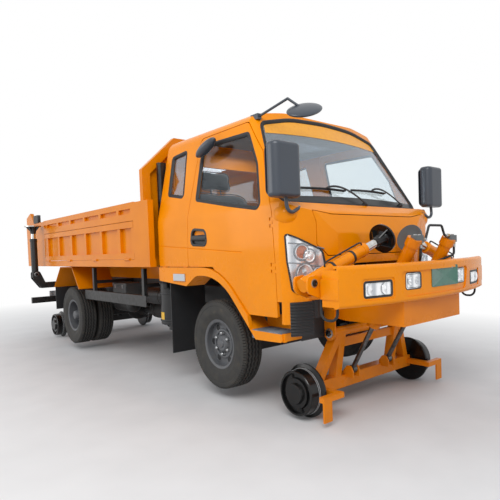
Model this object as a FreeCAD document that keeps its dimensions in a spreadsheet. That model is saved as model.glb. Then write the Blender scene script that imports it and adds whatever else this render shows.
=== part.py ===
"""Road-rail dump truck: a light cab-over tipper that also runs on lowered rail wheels.

Axes: +X forward, +Y to the truck's left, +Z up.  Every sub-part is drawn in truck coordinates,
where X counts from the front axle and Z from the lowest line of the road tyres; the placement
of each finished sub-part then moves it so that the rail wheels stand on Z = 0.
"""
import FreeCAD, Part
import math
import os
import re

from FreeCAD import Placement, Rotation, Vector

doc = FreeCAD.newDocument("RoadRailDumpTruck")

# ---------------------------------------------------------------- sizes, in millimetres and degrees
SIZES = {
    # where the truck stands
    "front_axle_x": 1853.0,      # front axle ahead of the middle of the overall length
    "road_z": 88.0,              # road tyres' lowest line above the floor under the rail wheels
    "seam": 6.0,                 # gap between two panels
    "gap": 0.3,                  # gap between pieces that only touch
    "fit": 0.05,                 # radial play of a shaft in its hole
    # road wheels
    "wheelbase": 3341.0,
    "tyre_r": 387.0,
    "tyre_w": 198.0,
    "bead_r": 205.0,
    "rim_flange_r": 222.0,
    "tread_edge": 42.0,
    "front_tyre_outer": 890.0,
    "rear_tyre_outer": 966.0,
    "dual_gap": 34.0,
    "nut_circle_r": 92.0,
    "hub_r": 62.0,
    "kingpin_y": 618.0,
    "kingpin_r": 20.0,
    "spindle_r": 28.0,
    "steer_stop": 30.0,
    # frame
    "rail_y": 380.0,             # outer face of a frame rail
    "rail_top": 830.0,
    "rail_h": 180.0,
    "rail_flange": 60.0,
    "rail_wall": 8.0,
    "pad_h": 50.0,               # subframe that the bed rests on
    "knuckle_r": 12.0,           # hinges of the drop sides
    "knuckle_l": 36.0,
    "hinge_pin_r": 6.0,
    "gate_pin_r": 10.0,          # pins the tailgate hangs from
    "gate_pin_l": 34.0,
    "rail_front": 1100.0,
    "rail_rear": -4990.0,
    "member_low": 680.0,         # cross members
    "member_h": 55.0,
    "cab_mount_rear": -640.0,
    "cab_mount_front": 560.0,
    # cab
    "cab_half_w": 950.0,
    "cab_rear": -850.0,
    "cab_wall": 32.0,
    "cab_floor_z": 1062.0,
    "roof_z": 2350.0,
    "glass_t": 5.0,
    "roof_crown": 70.0,          # roof's middle above its shoulders
    "ledge_z": 1528.0,           # foot of the windscreen
    "screen_x": 934.0,           # windscreen's middle at its foot
    "screen_rake": 0.561,        # how far it leans back for each unit of height
    "screen_bow": 78.0,          # corners behind its middle
    "pillar_r": 90.0,            # rounding of the pillars beside it
    "side_lean": 0.2154,         # how far the upper side leans in for each unit of height
    "fender_top": 1056.0,        # fender piece under the door and its lower edge behind the arch
    "fender_low": 925.0,
    "arch_top": 985.0,
    "door_low": 695.0,
    "step_z": 590.0,
    "panel_groove": 5.0,         # depth of the pressed line along the cab's side
    "wheel_x": 490.0,            # steering wheel's centre and tilt
    "wheel_y": 430.0,
    "wheel_z": 1470.0,
    "wheel_tilt": 45.0,
    "door_pin_x": 822.0,         # hinge line inside the door's front edge
    "door_pin_in": 9.0,
    "door_pin_r": 4.5,
    "door_knuckle_r": 6.0,
    "door_hinge_l": 72.0,
    "door_hinge_low": 1020.0,
    "door_hinge_high": 1350.0,
    "door_hinge_x": 852.0,
    "door_rear_x": -320.0,
    # dump bed
    "bed_half_w": 1030.0,
    "bed_front": -891.0,
    "head_x": -976.0,            # front face of the headboard
    "bed_rear": -5067.0,
    "bed_bottom": 1061.0,
    "bed_hinge_z": 1142.0,
    "board_top": 1532.0,
    "bed_top": 1729.0,
    "board_front": -1231.0,
    "board_rear": -4160.0,
    "board_t": 42.0,
    "board_sheet": 5.0,
    "stake_w": 58.0,
    "tip_x": -4750.0,
    "tip_z": 920.0,
    "tip_pin_r": 25.0,
    "tip_max": 45.0,
    "bed_floor_z": 1130.0,
    "side_hinge_out": 6.0,       # side hinge line outside and below the closed board's corner
    "side_hinge_down": 4.0,
    "side_fold": 178.0,
    "gate_hinge_down": 22.0,     # tailgate hinge below the top of the bed
    "gate_swing": 90.0,
    "head_side_z": 2027.0,
    "head_top_z": 2376.0,
    "head_top_half_w": 661.0,
    # bumper and gear carrier
    "bumper_x": 1620.0,
    "bumper_end_x": 1467.0,
    "bumper_half_w": 972.0,
    "bumper_low": 800.0,
    "bumper_top": 1072.0,
    "carrier_half_w": 388.0,
    "carrier_front": 1552.0,
    "carrier_low": 622.0,
    "bumper_t": 16.0,
    "underrun_x": -5325.0,
    "underrun_z": 432.0,
    "underrun_h": 98.0,
    "plate_t": 12.0,
    # rail gear
    "gear_pivot_x": 945.0,
    "gear_pivot_z": 530.0,
    "gear_pivot_y": 490.0,
    "gear_pin_r": 24.0,
    "gear_back": 72.0,           # wheel axle behind the gear's hinge
    "rear_gear_pivot_x": -4572.0,
    "rail_wheel_r": 203.0,
    "rail_tread_r": 173.0,
    "rail_flange_y": 676.5,
    "rail_face_y": 810.0,
    "rail_axle_r": 32.0,
    "gear_beam_half": 50.0,
    "gear_leg_y": 372.0,
    "gear_cyl_y": 240.0,
    "cyl_r": 46.0,
    "trunnion_r": 16.0,
    "cyl_rod_r": 19.0,
    "front_trunnion_x": 1419.0,
    "front_trunnion_z": 1000.0,
    "lug_drop": 325.0,           # rod lugs below the gear's hinge
    "lug_ahead": 10.0,
    "gear_swing": 70.0,
    "gear_friction": 900.0,      # newton metres
    "rear_trunnion_x": -4110.0,
    "rear_trunnion_z": 770.0,
    # jack legs
    "jack_x": 1240.0,
    "jack_y": 1020.0,
    "jack_z": 965.0,
    "jack_lean": 18.7,           # folded front legs above the level
    "rear_jack_x": -4250.0,
    "rear_jack_out": 130.0,      # rear legs outside the bed
    "rear_jack_z": 950.0,
    "jack_barrel_r": 46.0,
    "jack_rod_r": 32.0,
    "jack_pin_r": 17.0,
    "jack_foot_r": 112.0,
    "front_jack_reach": 887.0,   # pivot to sole
    "front_jack_barrel": 640.0,
    "rear_jack_reach": 712.0,
    "rear_jack_barrel": 520.0,
    "front_jack_stroke": 250.0,
    "rear_jack_stroke": 250.0,
    "jack_friction": 350.0,      # newton metres
    "rod_friction": 500.0,       # newtons
    # hoist under the bed
    "hoist_x": -3600.0,
    "hoist_z": 700.0,
    "hoist_eye_x": -2000.0,
    "hoist_eye_z": 960.0,
    "hoist_r": 62.0,
    "hoist_rod_r": 35.0,
    "hoist_barrel": 1180.0,
}


def fill_sheet():
    """Write the sizes into the spreadsheet: name, value with an alias."""
    sheet = doc.addObject("Spreadsheet::Sheet", "Sizes")
    for row, (name, value) in enumerate(SIZES.items(), 1):
        sheet.set(f"A{row}", name)
        sheet.set(f"B{row}", str(value))
        sheet.setAlias(f"B{row}", name)
    doc.recompute()
    return sheet


class Cells:
    """Reads a size back from the spreadsheet, so that every shape follows its cells."""

    def __init__(self, sheet):
        self._sheet = sheet

    def __getattr__(self, name):
        return float(self._sheet.get(name))


s = Cells(fill_sheet())
SIDES = (("right", -1), ("left", 1))


# ---------------------------------------------------------------- building blocks
def bind(obj, **links):
    """Bind properties to cells: each plain word in the text names a cell."""
    for prop, text in links.items():
        cell_text = re.sub(r"[a-z_][a-z_0-9]*", r"Sizes.\g<0>", str(text))
        obj.setExpression(prop.replace("__", "."), cell_text)


def box(name, x, y, z):
    """A block between two limits along each axis, each limit a number or a formula of sizes."""
    obj = doc.addObject("Part::Box", name)
    bind(obj, Length=f"{x[1]} - ({x[0]})", Width=f"{y[1]} - ({y[0]})", Height=f"{z[1]} - ({z[0]})",
         Placement__Base__x=x[0], Placement__Base__y=y[0], Placement__Base__z=z[0])
    return obj


TURNS = {"x": Rotation(Vector(0, 1, 0), 90), "y": Rotation(Vector(1, 0, 0), -90), "z": Rotation()}


def rod(name, axis, start, length, radius):
    """A cylinder along one axis from its start point; all sizes are numbers or formulas."""
    obj = doc.addObject("Part::Cylinder", name)
    obj.Placement = Placement(Vector(), TURNS[axis])
    bind(obj, Radius=radius, Height=length, Placement__Base__x=start[0],
         Placement__Base__y=start[1], Placement__Base__z=start[2])
    return obj


def settled(shape):
    """The shape with its own placement worked into its geometry."""
    place = shape.Placement
    bare = shape.copy()
    bare.Placement = Placement()
    return bare.transformed(place.Matrix, True)


def feature(name, shape):
    """A feature whose shape is worked out from the cells by Part's own functions."""
    obj = doc.addObject("Part::Feature", name)
    obj.Shape = settled(shape)
    return obj


def joined(name, pieces):
    """Touching pieces fused into one solid."""
    obj = doc.addObject("Part::MultiFuse", name)
    obj.Shapes = pieces
    obj.Refine = True
    return obj


def grouped(name, pieces):
    """Pieces that do not touch, kept as separate solids of one sub-part."""
    obj = doc.addObject("Part::Compound", name)
    obj.Links = pieces
    return obj


def cut(name, base, tool):
    obj = doc.addObject("Part::Cut", name)
    obj.Base = base
    obj.Tool = tool
    return obj


def side_span(side, inner, outer):
    """The y limits of a block that lies between inner and outer on one side of the truck."""
    return (inner, outer) if side > 0 else (f"-({outer})", f"-({inner})")


def rounded_wire(points):
    """A closed wire through (u, v, corner radius) points in the XY plane: lines and tangent arcs."""
    edges = []
    joints = []
    count = len(points)
    for i, (u, v, r) in enumerate(points):
        corner = Vector(u, v, 0)
        before = Vector(*points[i - 1][:2], 0) - corner
        after = Vector(*points[(i + 1) % count][:2], 0) - corner
        if r == 0:
            joints.append((corner, corner, corner))
            continue
        half = before.getAngle(after) / 2
        reach = r / math.tan(half)
        middle = (before.normalize() + after.normalize()).normalize()
        centre = corner + middle * (r / math.sin(half))
        joints.append((corner + before * reach, centre - middle * r, corner + after * reach))
    for i, (start, middle, end) in enumerate(joints):
        if start != end:
            edges.append(Part.Arc(start, middle, end).toShape())
        next_start = joints[(i + 1) % count][0]
        if end.distanceToPoint(next_start) > 1e-6:
            edges.append(Part.makeLine(end, next_start))
    return Part.Wire(edges)


PLANES = {  # sketch axes (u, v) and direction of the extrusion for each plane
    "xz": Placement(Vector(), Rotation(Vector(1, 0, 0), 90)),
    "yz": Placement(Vector(), Rotation(Vector(1, 1, 1), 120)),
    "xy": Placement(),
}
ALONG = {"xz": Vector(0, 1, 0), "yz": Vector(1, 0, 0), "xy": Vector(0, 0, 1)}


def prism(plane, points, low, high):
    """The outline through rounded points, pulled between two positions along its normal axis."""
    face = Part.Face(rounded_wire([(*p, 0) if len(p) == 2 else p for p in points]))
    face.Placement = PLANES[plane]
    face.translate(ALONG[plane] * low)
    return face.extrude(ALONG[plane] * (high - low))


def tube_between(start, end, radius):
    """A cylinder from one point to another."""
    direction = Vector(*end) - Vector(*start)
    return Part.makeCylinder(radius, direction.Length, Vector(*start), direction)


def bar_between(start, end, width, depth, across=Vector(0, 1, 0)):
    """A square-cut bar from one point to another, width along 'across', depth at right angles."""
    begin = Vector(*start)
    direction = Vector(*end) - begin
    length = direction.Length
    direction.normalize()
    side = (across - direction * across.dot(direction)).normalize()
    up = direction.cross(side)
    corners = [begin + side * (a * width / 2) + up * (b * depth / 2)
               for a, b in ((-1, -1), (1, -1), (1, 1), (-1, 1))]
    face = Part.Face(Part.makePolygon(corners + corners[:1]))
    return face.extrude(direction * length)


def ellipsoid(centre, half_axes):
    """An ellipsoid about a centre, from three half axes at right angles."""
    a, b, c = half_axes
    frame = FreeCAD.Matrix(a.x, b.x, c.x, centre[0], a.y, b.y, c.y, centre[1], a.z, b.z, c.z, centre[2],
                           0, 0, 0, 1)
    return Part.makeSphere(1).transformGeometry(frame)


def hose(points, radius, bend):
    """A round hose through points: straight runs joined by tangent arcs of the bend radius."""
    points = [Vector(*p) for p in points]
    edges, last = [], points[0]
    for before, corner, after in zip(points, points[1:], points[2:]):
        back, ahead = (before - corner).normalize(), (after - corner).normalize()
        half = back.getAngle(ahead) / 2
        reach = bend / math.tan(half)
        middle = (back + ahead).normalize()
        centre = corner + middle * (bend / math.sin(half))
        edges.append(Part.makeLine(last, corner + back * reach))
        last = corner + ahead * reach
        edges.append(Part.Arc(corner + back * reach, centre - middle * bend, last).toShape())
    edges.append(Part.makeLine(last, points[-1]))
    ring = Part.Wire(Part.makeCircle(radius, points[0], points[1] - points[0]))
    return Part.Wire(edges).makePipeShell([ring], True, False)


def mirrored(shape):
    """The same shape on the other side of the truck."""
    return shape.mirror(Vector(), Vector(0, 1, 0))


def fused(shapes):
    """One solid or compound from touching shapes."""
    return shapes[0].multiFuse(shapes[1:]).removeSplitter()


PARTS = {}


def finish(node, obj):
    """Name a finished sub-part and bind its placement to the place of the front axle."""
    obj.Label = node
    bind(obj, Placement__Base__x="front_axle_x", Placement__Base__z="road_z")
    PARTS[node] = obj


def finish_shape(node, shapes):
    """Finish a sub-part made of one or more worked-out shapes."""
    shapes = shapes if isinstance(shapes, list) else [shapes]
    solids = [settled(solid) for shape in shapes for solid in shape.Solids]
    obj = feature(node, solids[0] if len(solids) == 1 else Part.makeCompound(solids))
    finish(node, obj)


# ---------------------------------------------------------------- road wheels
def tyre_shape(y_middle):
    """A tyre as a turned section: flat tread, rounded shoulders, bead open to the rim."""
    half = s.tyre_w / 2
    section = [
        (s.bead_r, -half * 0.72, 0), (s.bead_r + 40, -half * 0.92, 20), (s.tyre_r - 90, -half, 30),
        (s.tyre_r, -half + 14, s.tread_edge * 0.5), (s.tyre_r, half - 14, s.tread_edge * 0.5),
        (s.tyre_r - 90, half, 30), (s.bead_r + 40, half * 0.92, 20), (s.bead_r, half * 0.72, 0),
    ]
    face = Part.Face(rounded_wire(section))
    solid = face.revolve(Vector(), Vector(0, 1, 0), 360)
    solid.translate(Vector(0, y_middle, 0))
    return solid


def rim_shape(y_middle, outward, dish, bore):
    """A steel rim: barrel in the bead, a disc set 'dish' from the middle plane, a centre bore."""
    half = s.tyre_w / 2 * 0.72
    barrel = Part.makeCylinder(s.bead_r - s.gap, 2 * half, Vector(0, -half, 0), Vector(0, 1, 0))
    well = Part.makeCylinder(s.bead_r - 14, 2 * half, Vector(0, -half, 0), Vector(0, 1, 0))
    disc_y = outward * dish
    disc = Part.makeCylinder(s.bead_r - 10, 12, Vector(0, disc_y - 6, 0), Vector(0, 1, 0))
    hub = Part.makeCylinder(s.hub_r, 46, Vector(0, disc_y - 23, 0), Vector(0, 1, 0))
    nuts = [Part.makeCylinder(15, 26, Vector(s.nut_circle_r * math.cos(a), disc_y,
                                             s.nut_circle_r * math.sin(a)), Vector(0, outward, 0))
            for a in (math.radians(60 * k + 30) for k in range(6))]
    holes = [Part.makeCylinder(24, 40, Vector(150 * math.cos(a), disc_y - 20, 150 * math.sin(a)),
                               Vector(0, 1, 0)) for a in (math.radians(60 * k) for k in range(6))]
    solid = fused([barrel.cut(well), disc.cut(Part.makeCompound(holes)), hub] + nuts)
    solid = solid.cut(Part.makeCylinder(bore, 400, Vector(0, -200, 0), Vector(0, 1, 0)))
    solid.translate(Vector(0, y_middle, 0))
    return solid


def at_axle(shape, x):
    """Move a wheel drawn at the origin to its axle."""
    shape.translate(Vector(x, 0, s.tyre_r))
    return shape


def road_wheels():
    for side_name, side in SIDES:
        middle = side * (s.front_tyre_outer - s.tyre_w / 2)
        finish_shape(f"front_{side_name}_tyre", at_axle(tyre_shape(middle), 0))
        rim = rim_shape(middle, side, 20, s.spindle_r + s.fit)
        finish_shape(f"front_{side_name}_rim", at_axle(rim, 0))
        outer = side * (s.rear_tyre_outer - s.tyre_w / 2)
        inner = outer - side * (s.tyre_w + s.dual_gap)
        tyres = [at_axle(tyre_shape(y), -s.wheelbase) for y in (outer, inner)]
        finish_shape(f"rear_{side_name}_tyres", tyres)
        rims = fused([rim_shape(outer, side, -40, s.spindle_r + s.fit),
                      rim_shape(inner, side, 40, s.spindle_r + s.fit),
                      Part.makeCylinder(130, s.dual_gap + s.tyre_w - 80,
                                        Vector(0, min(inner, outer) + 40, 0), Vector(0, 1, 0)).cut(
                          Part.makeCylinder(110, 600, Vector(0, min(inner, outer) - 100, 0),
                                            Vector(0, 1, 0)))])
        finish_shape(f"rear_{side_name}_rims", at_axle(rims, -s.wheelbase))


road_wheels()


# ---------------------------------------------------------------- frame, axles and driveline
def frame_rail(side_name, side):
    """One channel rail with its subframe strip, its two cab posts and the ear of the tipping shaft."""
    top, low = "rail_top", "rail_top - rail_h"
    web = side_span(side, "rail_y - rail_wall", "rail_y")
    flange = side_span(side, "rail_y - rail_flange", "rail_y")
    ear = side_span(side, "rail_y - rail_flange", "rail_y - rail_flange + 16")
    run = ("rail_rear", "rail_front")
    pieces = [
        box(f"rail_web_{side_name}", run, web, (low, top)),
        box(f"rail_upper_{side_name}", run, flange, ("rail_top - rail_wall", top)),
        box(f"rail_lower_{side_name}", run, flange, (low, f"{low} + rail_wall")),
        box(f"subframe_{side_name}", ("rail_rear + 400", "cab_rear - 250"), flange,
            (top, "rail_top + pad_h")),
        box(f"tip_ear_{side_name}", ("tip_x - 34", "tip_x + 34"), ear, (top, "tip_z")),
        rod(f"tip_eye_{side_name}", "y", ("tip_x", ear[0], "tip_z"), 16, 34),
    ]
    for place in ("cab_mount_rear", "cab_mount_front"):
        pieces.append(box(f"{place}_{side_name}", (place, f"{place} + 80"), flange,
                          (top, "cab_floor_z - gap")))
    bore = rod(f"tip_bore_{side_name}", "y", ("tip_x", f"({ear[0]}) - 5", "tip_z"), 26, "tip_pin_r + fit")
    return cut(f"rail_{side_name}", joined(f"rail_pieces_{side_name}", pieces), bore)


def chassis_frame():
    """Two channel rails; between them the cross members, the hoist's pin and the tipping shaft."""
    rails = [frame_rail(side_name, side) for side_name, side in SIDES]
    finish("chassis_frame", grouped("frame_rails", rails))
    inner = ("-rail_y + rail_wall", "rail_y - rail_wall")
    height = ("member_low", "member_low + member_h")
    members = [box(f"cross_member_{i}", (x, f"{x} + 60"), inner, height)
               for i, x in enumerate((-4880, -2850, -2000, -1230, 560))]
    members.append(rod("hoist_pin", "y", ("hoist_x", inner[0], "hoist_z"), "2 * (rail_y - rail_wall)", 24))
    members.append(rod("tip_shaft", "y", ("tip_x", "-rail_y + rail_flange - 10", "tip_z"),
                       "2 * (rail_y - rail_flange + 10)", "tip_pin_r"))
    root = s.rear_trunnion_x + 70
    beam = Part.makeBox(60, 2 * (s.rail_y - s.rail_wall), s.member_h,
                        Vector(root, -s.rail_y + s.rail_wall, s.member_low))
    ears = trunnion_ears(s.rear_trunnion_x, s.rear_trunnion_z, root + 60, s.member_low,
                         s.member_low + s.member_h)
    members.append(feature("rear_trunnion_member", fused([beam] + ears)))
    finish("cross_members", grouped("member_pieces", members))


def gear_hanger(side, x, reach_back):
    """Plate that the rail gear's hinge turns in, with the arm that carries it off the frame's side."""
    low, high = sorted((side * (s.gear_pivot_y - s.plate_t), side * s.gear_pivot_y))
    near, far = sorted((side * (s.rail_y + s.gap), side * s.gear_pivot_y))
    z = s.gear_pivot_z
    outline = [(x - reach_back, s.rail_top - 60, 0), (x + 55, s.rail_top - 60, 0), (x + 58, z, 0),
               (x + 58, z - 58, 56), (x - 58, z - 58, 56), (x - 58, z + 60, 0), (x - reach_back, z + 140, 0)]
    plate = prism("xz", outline, low, high)
    arm = Part.makeBox(60, far - near, 100, Vector(x - 70, near, s.rail_top - 160))
    bore = Part.makeCylinder(s.gear_pin_r + s.fit, 2 * s.plate_t, Vector(x, low - s.plate_t / 2, z),
                             Vector(0, 1, 0))
    return plate.fuse(arm).cut(bore)


def trunnion_ears(x, z, root_x, root_low, root_high):
    """Four upright plates, two to each gear cylinder, that reach from a member to the trunnion."""
    ears = []
    outline = [(x, z - 34, 0), (x, z + 34, 0), (root_x, root_high, 0), (root_x, root_low, 0)]
    for _, side in SIDES:
        for y in (side * s.gear_cyl_y - 74, side * s.gear_cyl_y + 62):
            eye = Part.makeCylinder(34, 12, Vector(x, y, z), Vector(0, 1, 0))
            hole = Part.makeCylinder(s.trunnion_r + s.fit, 30, Vector(x, y - 9, z), Vector(0, 1, 0))
            ears.append(prism("xz", outline, y, y + 12).fuse(eye).cut(hole))
    return ears


def running_gear():
    """Front axle beam with leaf springs; rear axle housing; the two steered knuckles."""
    beam_z = s.tyre_r - 70
    pin_y = s.kingpin_y
    shapes = [Part.makeBox(90, 2 * pin_y - 240, 80, Vector(-45, -pin_y + 120, beam_z - 40))]
    for _, side in SIDES:
        shapes.append(bar_between((0, side * (pin_y - 150), beam_z),
                                  (0, side * (pin_y - 20), s.tyre_r), 70, 62, Vector(1, 0, 0)))
        boss = Part.makeCylinder(38, 90, Vector(0, side * pin_y, s.tyre_r - 45))
        shapes.append(boss)
    beam = fused(shapes)
    for _, side in SIDES:
        beam = beam.cut(Part.makeCylinder(s.kingpin_r + s.fit, 300,
                                          Vector(0, side * pin_y, s.tyre_r - 150)))
    springs = []
    for x, half, seat in ((0, 560, beam_z + 40), (-s.wheelbase, 620, s.tyre_r + 78)):
        frame_low = s.rail_top - s.rail_h
        eye_z = frame_low - 45
        for _, side in SIDES:
            y = side * (s.rail_y - 30)
            leaves = []
            for n in range(4):
                reach = half * (1 - 0.22 * n)
                drop = (eye_z - seat) * reach / half
                for way in (-1, 1):
                    leaves.append(bar_between((x, y, seat + 12 + 9 * (3 - n)),
                                              (x + way * reach, y, seat + 9 * (3 - n) + drop), 60, 9.5))
            clamp = Part.makeBox(110, 76, 66, Vector(x - 55, y - 38, seat))
            hangers = [Part.makeBox(50, 50, 62, Vector(x + way * half - 25, y - 25, frame_low - 62))
                       for way in (-1, 1)]
            springs.append(fused(leaves + [clamp] + hangers))
    for spring in springs[:2]:
        beam = beam.fuse(spring)
    finish_shape("front_axle", beam.removeSplitter())
    housing = [
        Part.makeCylinder(62, 2 * 500, Vector(0, -500, 0), Vector(0, 1, 0)),
        Part.makeSphere(165),
        Part.makeCone(120, 60, 190, Vector(60, 0, 0), Vector(1, 0, 0)),
    ]
    stub_end = s.rear_tyre_outer - s.tyre_w / 2 + 70
    housing.append(Part.makeCylinder(s.spindle_r, 2 * stub_end, Vector(0, -stub_end, 0), Vector(0, 1, 0)))
    for _, side in SIDES:
        housing.append(Part.makeBox(120, 80, 110, Vector(-60, side * (s.rail_y - 30) - 40, -25)))
    axle = fused(housing)
    axle.translate(Vector(-s.wheelbase, 0, s.tyre_r))
    for spring in springs[2:]:
        axle = axle.fuse(spring)
    finish_shape("rear_axle", axle.removeSplitter())
    for side_name, side in SIDES:
        finish_shape(f"knuckle_{side_name}", knuckle_shape(side))


def knuckle_shape(side):
    """A kingpin through the beam's boss, held by a yoke that carries the wheel spindle."""
    y = side * s.kingpin_y
    pin = Part.makeCylinder(s.kingpin_r, 180, Vector(0, y, s.tyre_r - 90))
    yoke = []
    inner, outer = sorted((y - side * 30, y + side * 62))
    for z in (s.tyre_r - 90, s.tyre_r + 54):
        yoke.append(Part.makeBox(76, outer - inner, 36, Vector(-38, inner, z)))
    back_in, back_out = sorted((y + side * 44, y + side * 62))
    plate = Part.makeBox(76, back_out - back_in, 180, Vector(-38, back_in, s.tyre_r - 90))
    spindle_end = side * (s.front_tyre_outer - s.tyre_w / 2 + 58)
    spindle = Part.makeCylinder(s.spindle_r, abs(spindle_end - (y + side * 50)),
                                Vector(0, y + side * 50, s.tyre_r), Vector(0, side, 0))
    return fused([pin, plate, spindle] + yoke)


def driveline():
    """Engine block, gearbox and propeller shaft as plain solids."""
    pieces = [
        box("engine_block", (-560, 330), (-240, 240), (480, 1000)),
        box("gearbox", (-1130, -560), (-150, 150), (500, 800)),
        box("engine_mounts", (-160, -100), ("-rail_y + rail_wall + gap", "rail_y - rail_wall - gap"),
            (662, 702)),
        feature("drive_shaft", tube_between((-1130, 0, 560), (-s.wheelbase + 256, 0, s.tyre_r), 38)),
    ]
    finish("engine", joined("engine_pieces", pieces))


chassis_frame()
running_gear()
driveline()


# ---------------------------------------------------------------- cab
def inset_wire(points, inset):
    """The outline's wire, moved inward by an inset."""
    wire = rounded_wire(points)
    return wire.makeOffset2D(-inset) if inset else wire


def pulled(plane, wire, low, high):
    """A closed wire drawn in a plane, pulled between two positions."""
    face = Part.Face(wire)
    face.Placement = PLANES[plane].multiply(face.Placement)
    face.translate(ALONG[plane] * low)
    return face.extrude(ALONG[plane] * (high - low))


def cab_profile():
    """Side view of the cab as (x, z, corner radius), with the lower line that the doors reach to."""
    foot_x = s.screen_x + 4
    header_z = s.roof_z - 28
    header_x = foot_x - s.screen_rake * (header_z - s.ledge_z)
    return [
        (s.cab_rear, s.cab_floor_z, 10), (s.cab_rear - 8, s.roof_z - 6, 150), (380, s.roof_z + 8, 200),
        (header_x, header_z, 60), (foot_x, s.ledge_z, 30), (1030, 1462, 60), (1076, 1300, 80),
        (1076, 1000, 60), (1010, 812, 20), (870, s.door_low - 5, 10), (470, s.door_low - 5, 0),
        (60, s.cab_floor_z, 0),
    ]


def side_y(z):
    """Half width of the cab's leaning upper side at a height."""
    return s.cab_half_w - 4 - s.side_lean * (z - 1500)


def cab_front_view():
    """Front view of the cab as (y, z, corner radius): sides that lean in to a crowned roof."""
    half, shoulder_z = s.cab_half_w, s.roof_z - s.roof_crown
    right = [(half - 12, 650, 0), (half, 1180, 600), (half - 4, 1500, 300),
             (side_y(shoulder_z), shoulder_z, 120), (430, s.roof_z - 12, 2000)]
    return right + [(0, s.roof_z, 4000)] + [(-y, z, r) for y, z, r in reversed(right)]


def cab_plan():
    """Plan view of the cab as (x, y, corner radius): bowed nose between large rounded corners."""
    half = s.cab_half_w
    return [(s.cab_rear - 20, -half - 20, 0), (960, -half - 20, 190), (1085, -500, 900),
            (1085, 500, 900), (960, half + 20, 190), (s.cab_rear - 20, half + 20, 0)]


def screen_section(z, inset):
    """Level section of the upper cab: a bowed windscreen between two rounded pillars."""
    middle = s.screen_x - s.screen_rake * (z - s.ledge_z)
    half, bow = side_y(z) + 3, s.screen_bow
    radius = 0.75 * half ** 2 / (1.6 * bow)
    points = [(s.cab_rear - 60, -half, 0), (middle - bow, -half, s.pillar_r), (middle + 0.6 * bow, 0, radius),
              (middle - bow, half, s.pillar_r), (s.cab_rear - 60, half, 0)]
    wire = inset_wire(points, inset)
    wire.translate(Vector(0, 0, z))
    return wire


def cab_solid(inset):
    """The cab's outer form, or the same form shrunk by an inset.

    Three crossing extrusions give the side view, the front view and the plan; above the
    windscreen's foot a loft between two level sections gives the bowed screen.
    """
    side = pulled("xz", inset_wire(cab_profile(), inset), -1100, 1100)
    front = pulled("yz", inset_wire(cab_front_view(), inset), -1000, 1200)
    plan = pulled("xy", inset_wire(cab_plan(), inset), 600, 2450)
    screen = Part.makeLoft([screen_section(z, inset) for z in (1400, 2460)], True, True)
    below = Part.makeBox(2300, 2 * s.cab_half_w + 200, s.ledge_z - inset - 500,
                         Vector(s.cab_rear - 100, -s.cab_half_w - 100, 500))
    return side.common(front).common(plan).common(screen.fuse(below))


def cab_column(inset, z_low, z_high):
    """The space inside the cab's sides and nose between two heights, whatever its side view."""
    front = pulled("yz", inset_wire(cab_front_view(), inset), s.cab_rear + inset, 1076 - inset)
    plan = pulled("xy", inset_wire(cab_plan(), inset), z_low, z_high)
    return front.common(plan)


def door_outline(grow):
    """Door outline as (x, z, corner radius); grow moves the edges outward."""
    g = grow
    sill = s.fender_top + s.seam - g
    return [
        (s.door_rear_x - g, sill, 30), (-300 - g, 1560, 200), (-262 - g, 2205 + g, 60),
        (415 + g, 2215 + g, 50), (610 + g, 1950, 300), (s.door_hinge_x - 24 + g, 1480, 200),
        (s.door_hinge_x + g, 1100, 300), (s.door_hinge_x + g, s.door_low - g, 10),
        (521 - 0.41 * g, s.door_low - g, 10), (162 - 0.41 * g, sill, 600 + g),
    ]


def door_window(grow):
    """Side window outline as (x, z, corner radius)."""
    g = grow
    return [(-205 - g, 1648 - g, 30), (-222 - g, 2138 + g, 40), (436 + g, 2125 + g, 50),
            (600 + g, 1850, 200), (706 + g, 1492 - g, 40), (300, 1556 - g, 300)]


def quarter_window(grow):
    """Window behind the door as (x, z, corner radius)."""
    g = grow
    return [(-716 - g, 1742 - g, 30), (-745 - g, 2118 + g, 30), (-492 + g, 2140 + g, 30),
            (-432 + g, 1694 - g, 30)]


def windscreen(grow):
    """Windscreen outline in front view as (y, z, corner radius), arched along its top."""
    g, half = grow, s.cab_half_w
    right = [(half - 48 + g, 1534 - g, 70), (half - 226 + g, 2212 + g, 90), (400, 2284 + g, 900)]
    return right + [(0, 2298 + g, 3000)] + [(-y, z, r) for y, z, r in reversed(right)]


def rear_window(grow):
    """Window in the cab's back wall, in rear view as (y, z, corner radius)."""
    g = grow
    return [(y, z, 60) for y, z in ((-520 - g, 1640 - g), (520 + g, 1640 - g),
                                    (520 + g, 2080 + g), (-520 - g, 2080 + g))]


def nose_panel(grow):
    """Front service lid outline in front view as (y, z, corner radius)."""
    g, half = grow, s.cab_half_w
    right = [(half - 350 + g, 1136 - g, 15), (half - 295 + g, 1192 - g, 15), (half - 258 + g, 1212, 30),
             (half - 258 + g, 1380, 100), (half - 224 + g, 1466 + g, 12), (half - 420, 1438 + g, 300)]
    return right + [(-y, z, r) for y, z, r in reversed(right)]


def headlamp_outline(side, grow):
    """Headlamp outline in front view as (y, z, corner radius), tall and wrapped round the corner."""
    g, half = grow, s.cab_half_w
    points = [(half - 26 + g, 1301 + g, 12), (half - 295, 1176 + g, 60), (half - 337 - g, 975, 280),
              (half - 328 - g, 888 - g, 30), (half - 57 + g, 880 - g, 30), (half - 33 + g, 1100, 300)]
    return [(side * y, z, r) for y, z, r in points]


def grille_outline(grow):
    """Air slot below the front lid, in front view as (y, z, corner radius)."""
    g = grow
    return [(y, z, 12) for y, z in ((-350 - g, 985 - g), (350 + g, 985 - g), (330 + g, 1066 + g),
                                    (-330 - g, 1066 + g))]


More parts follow.
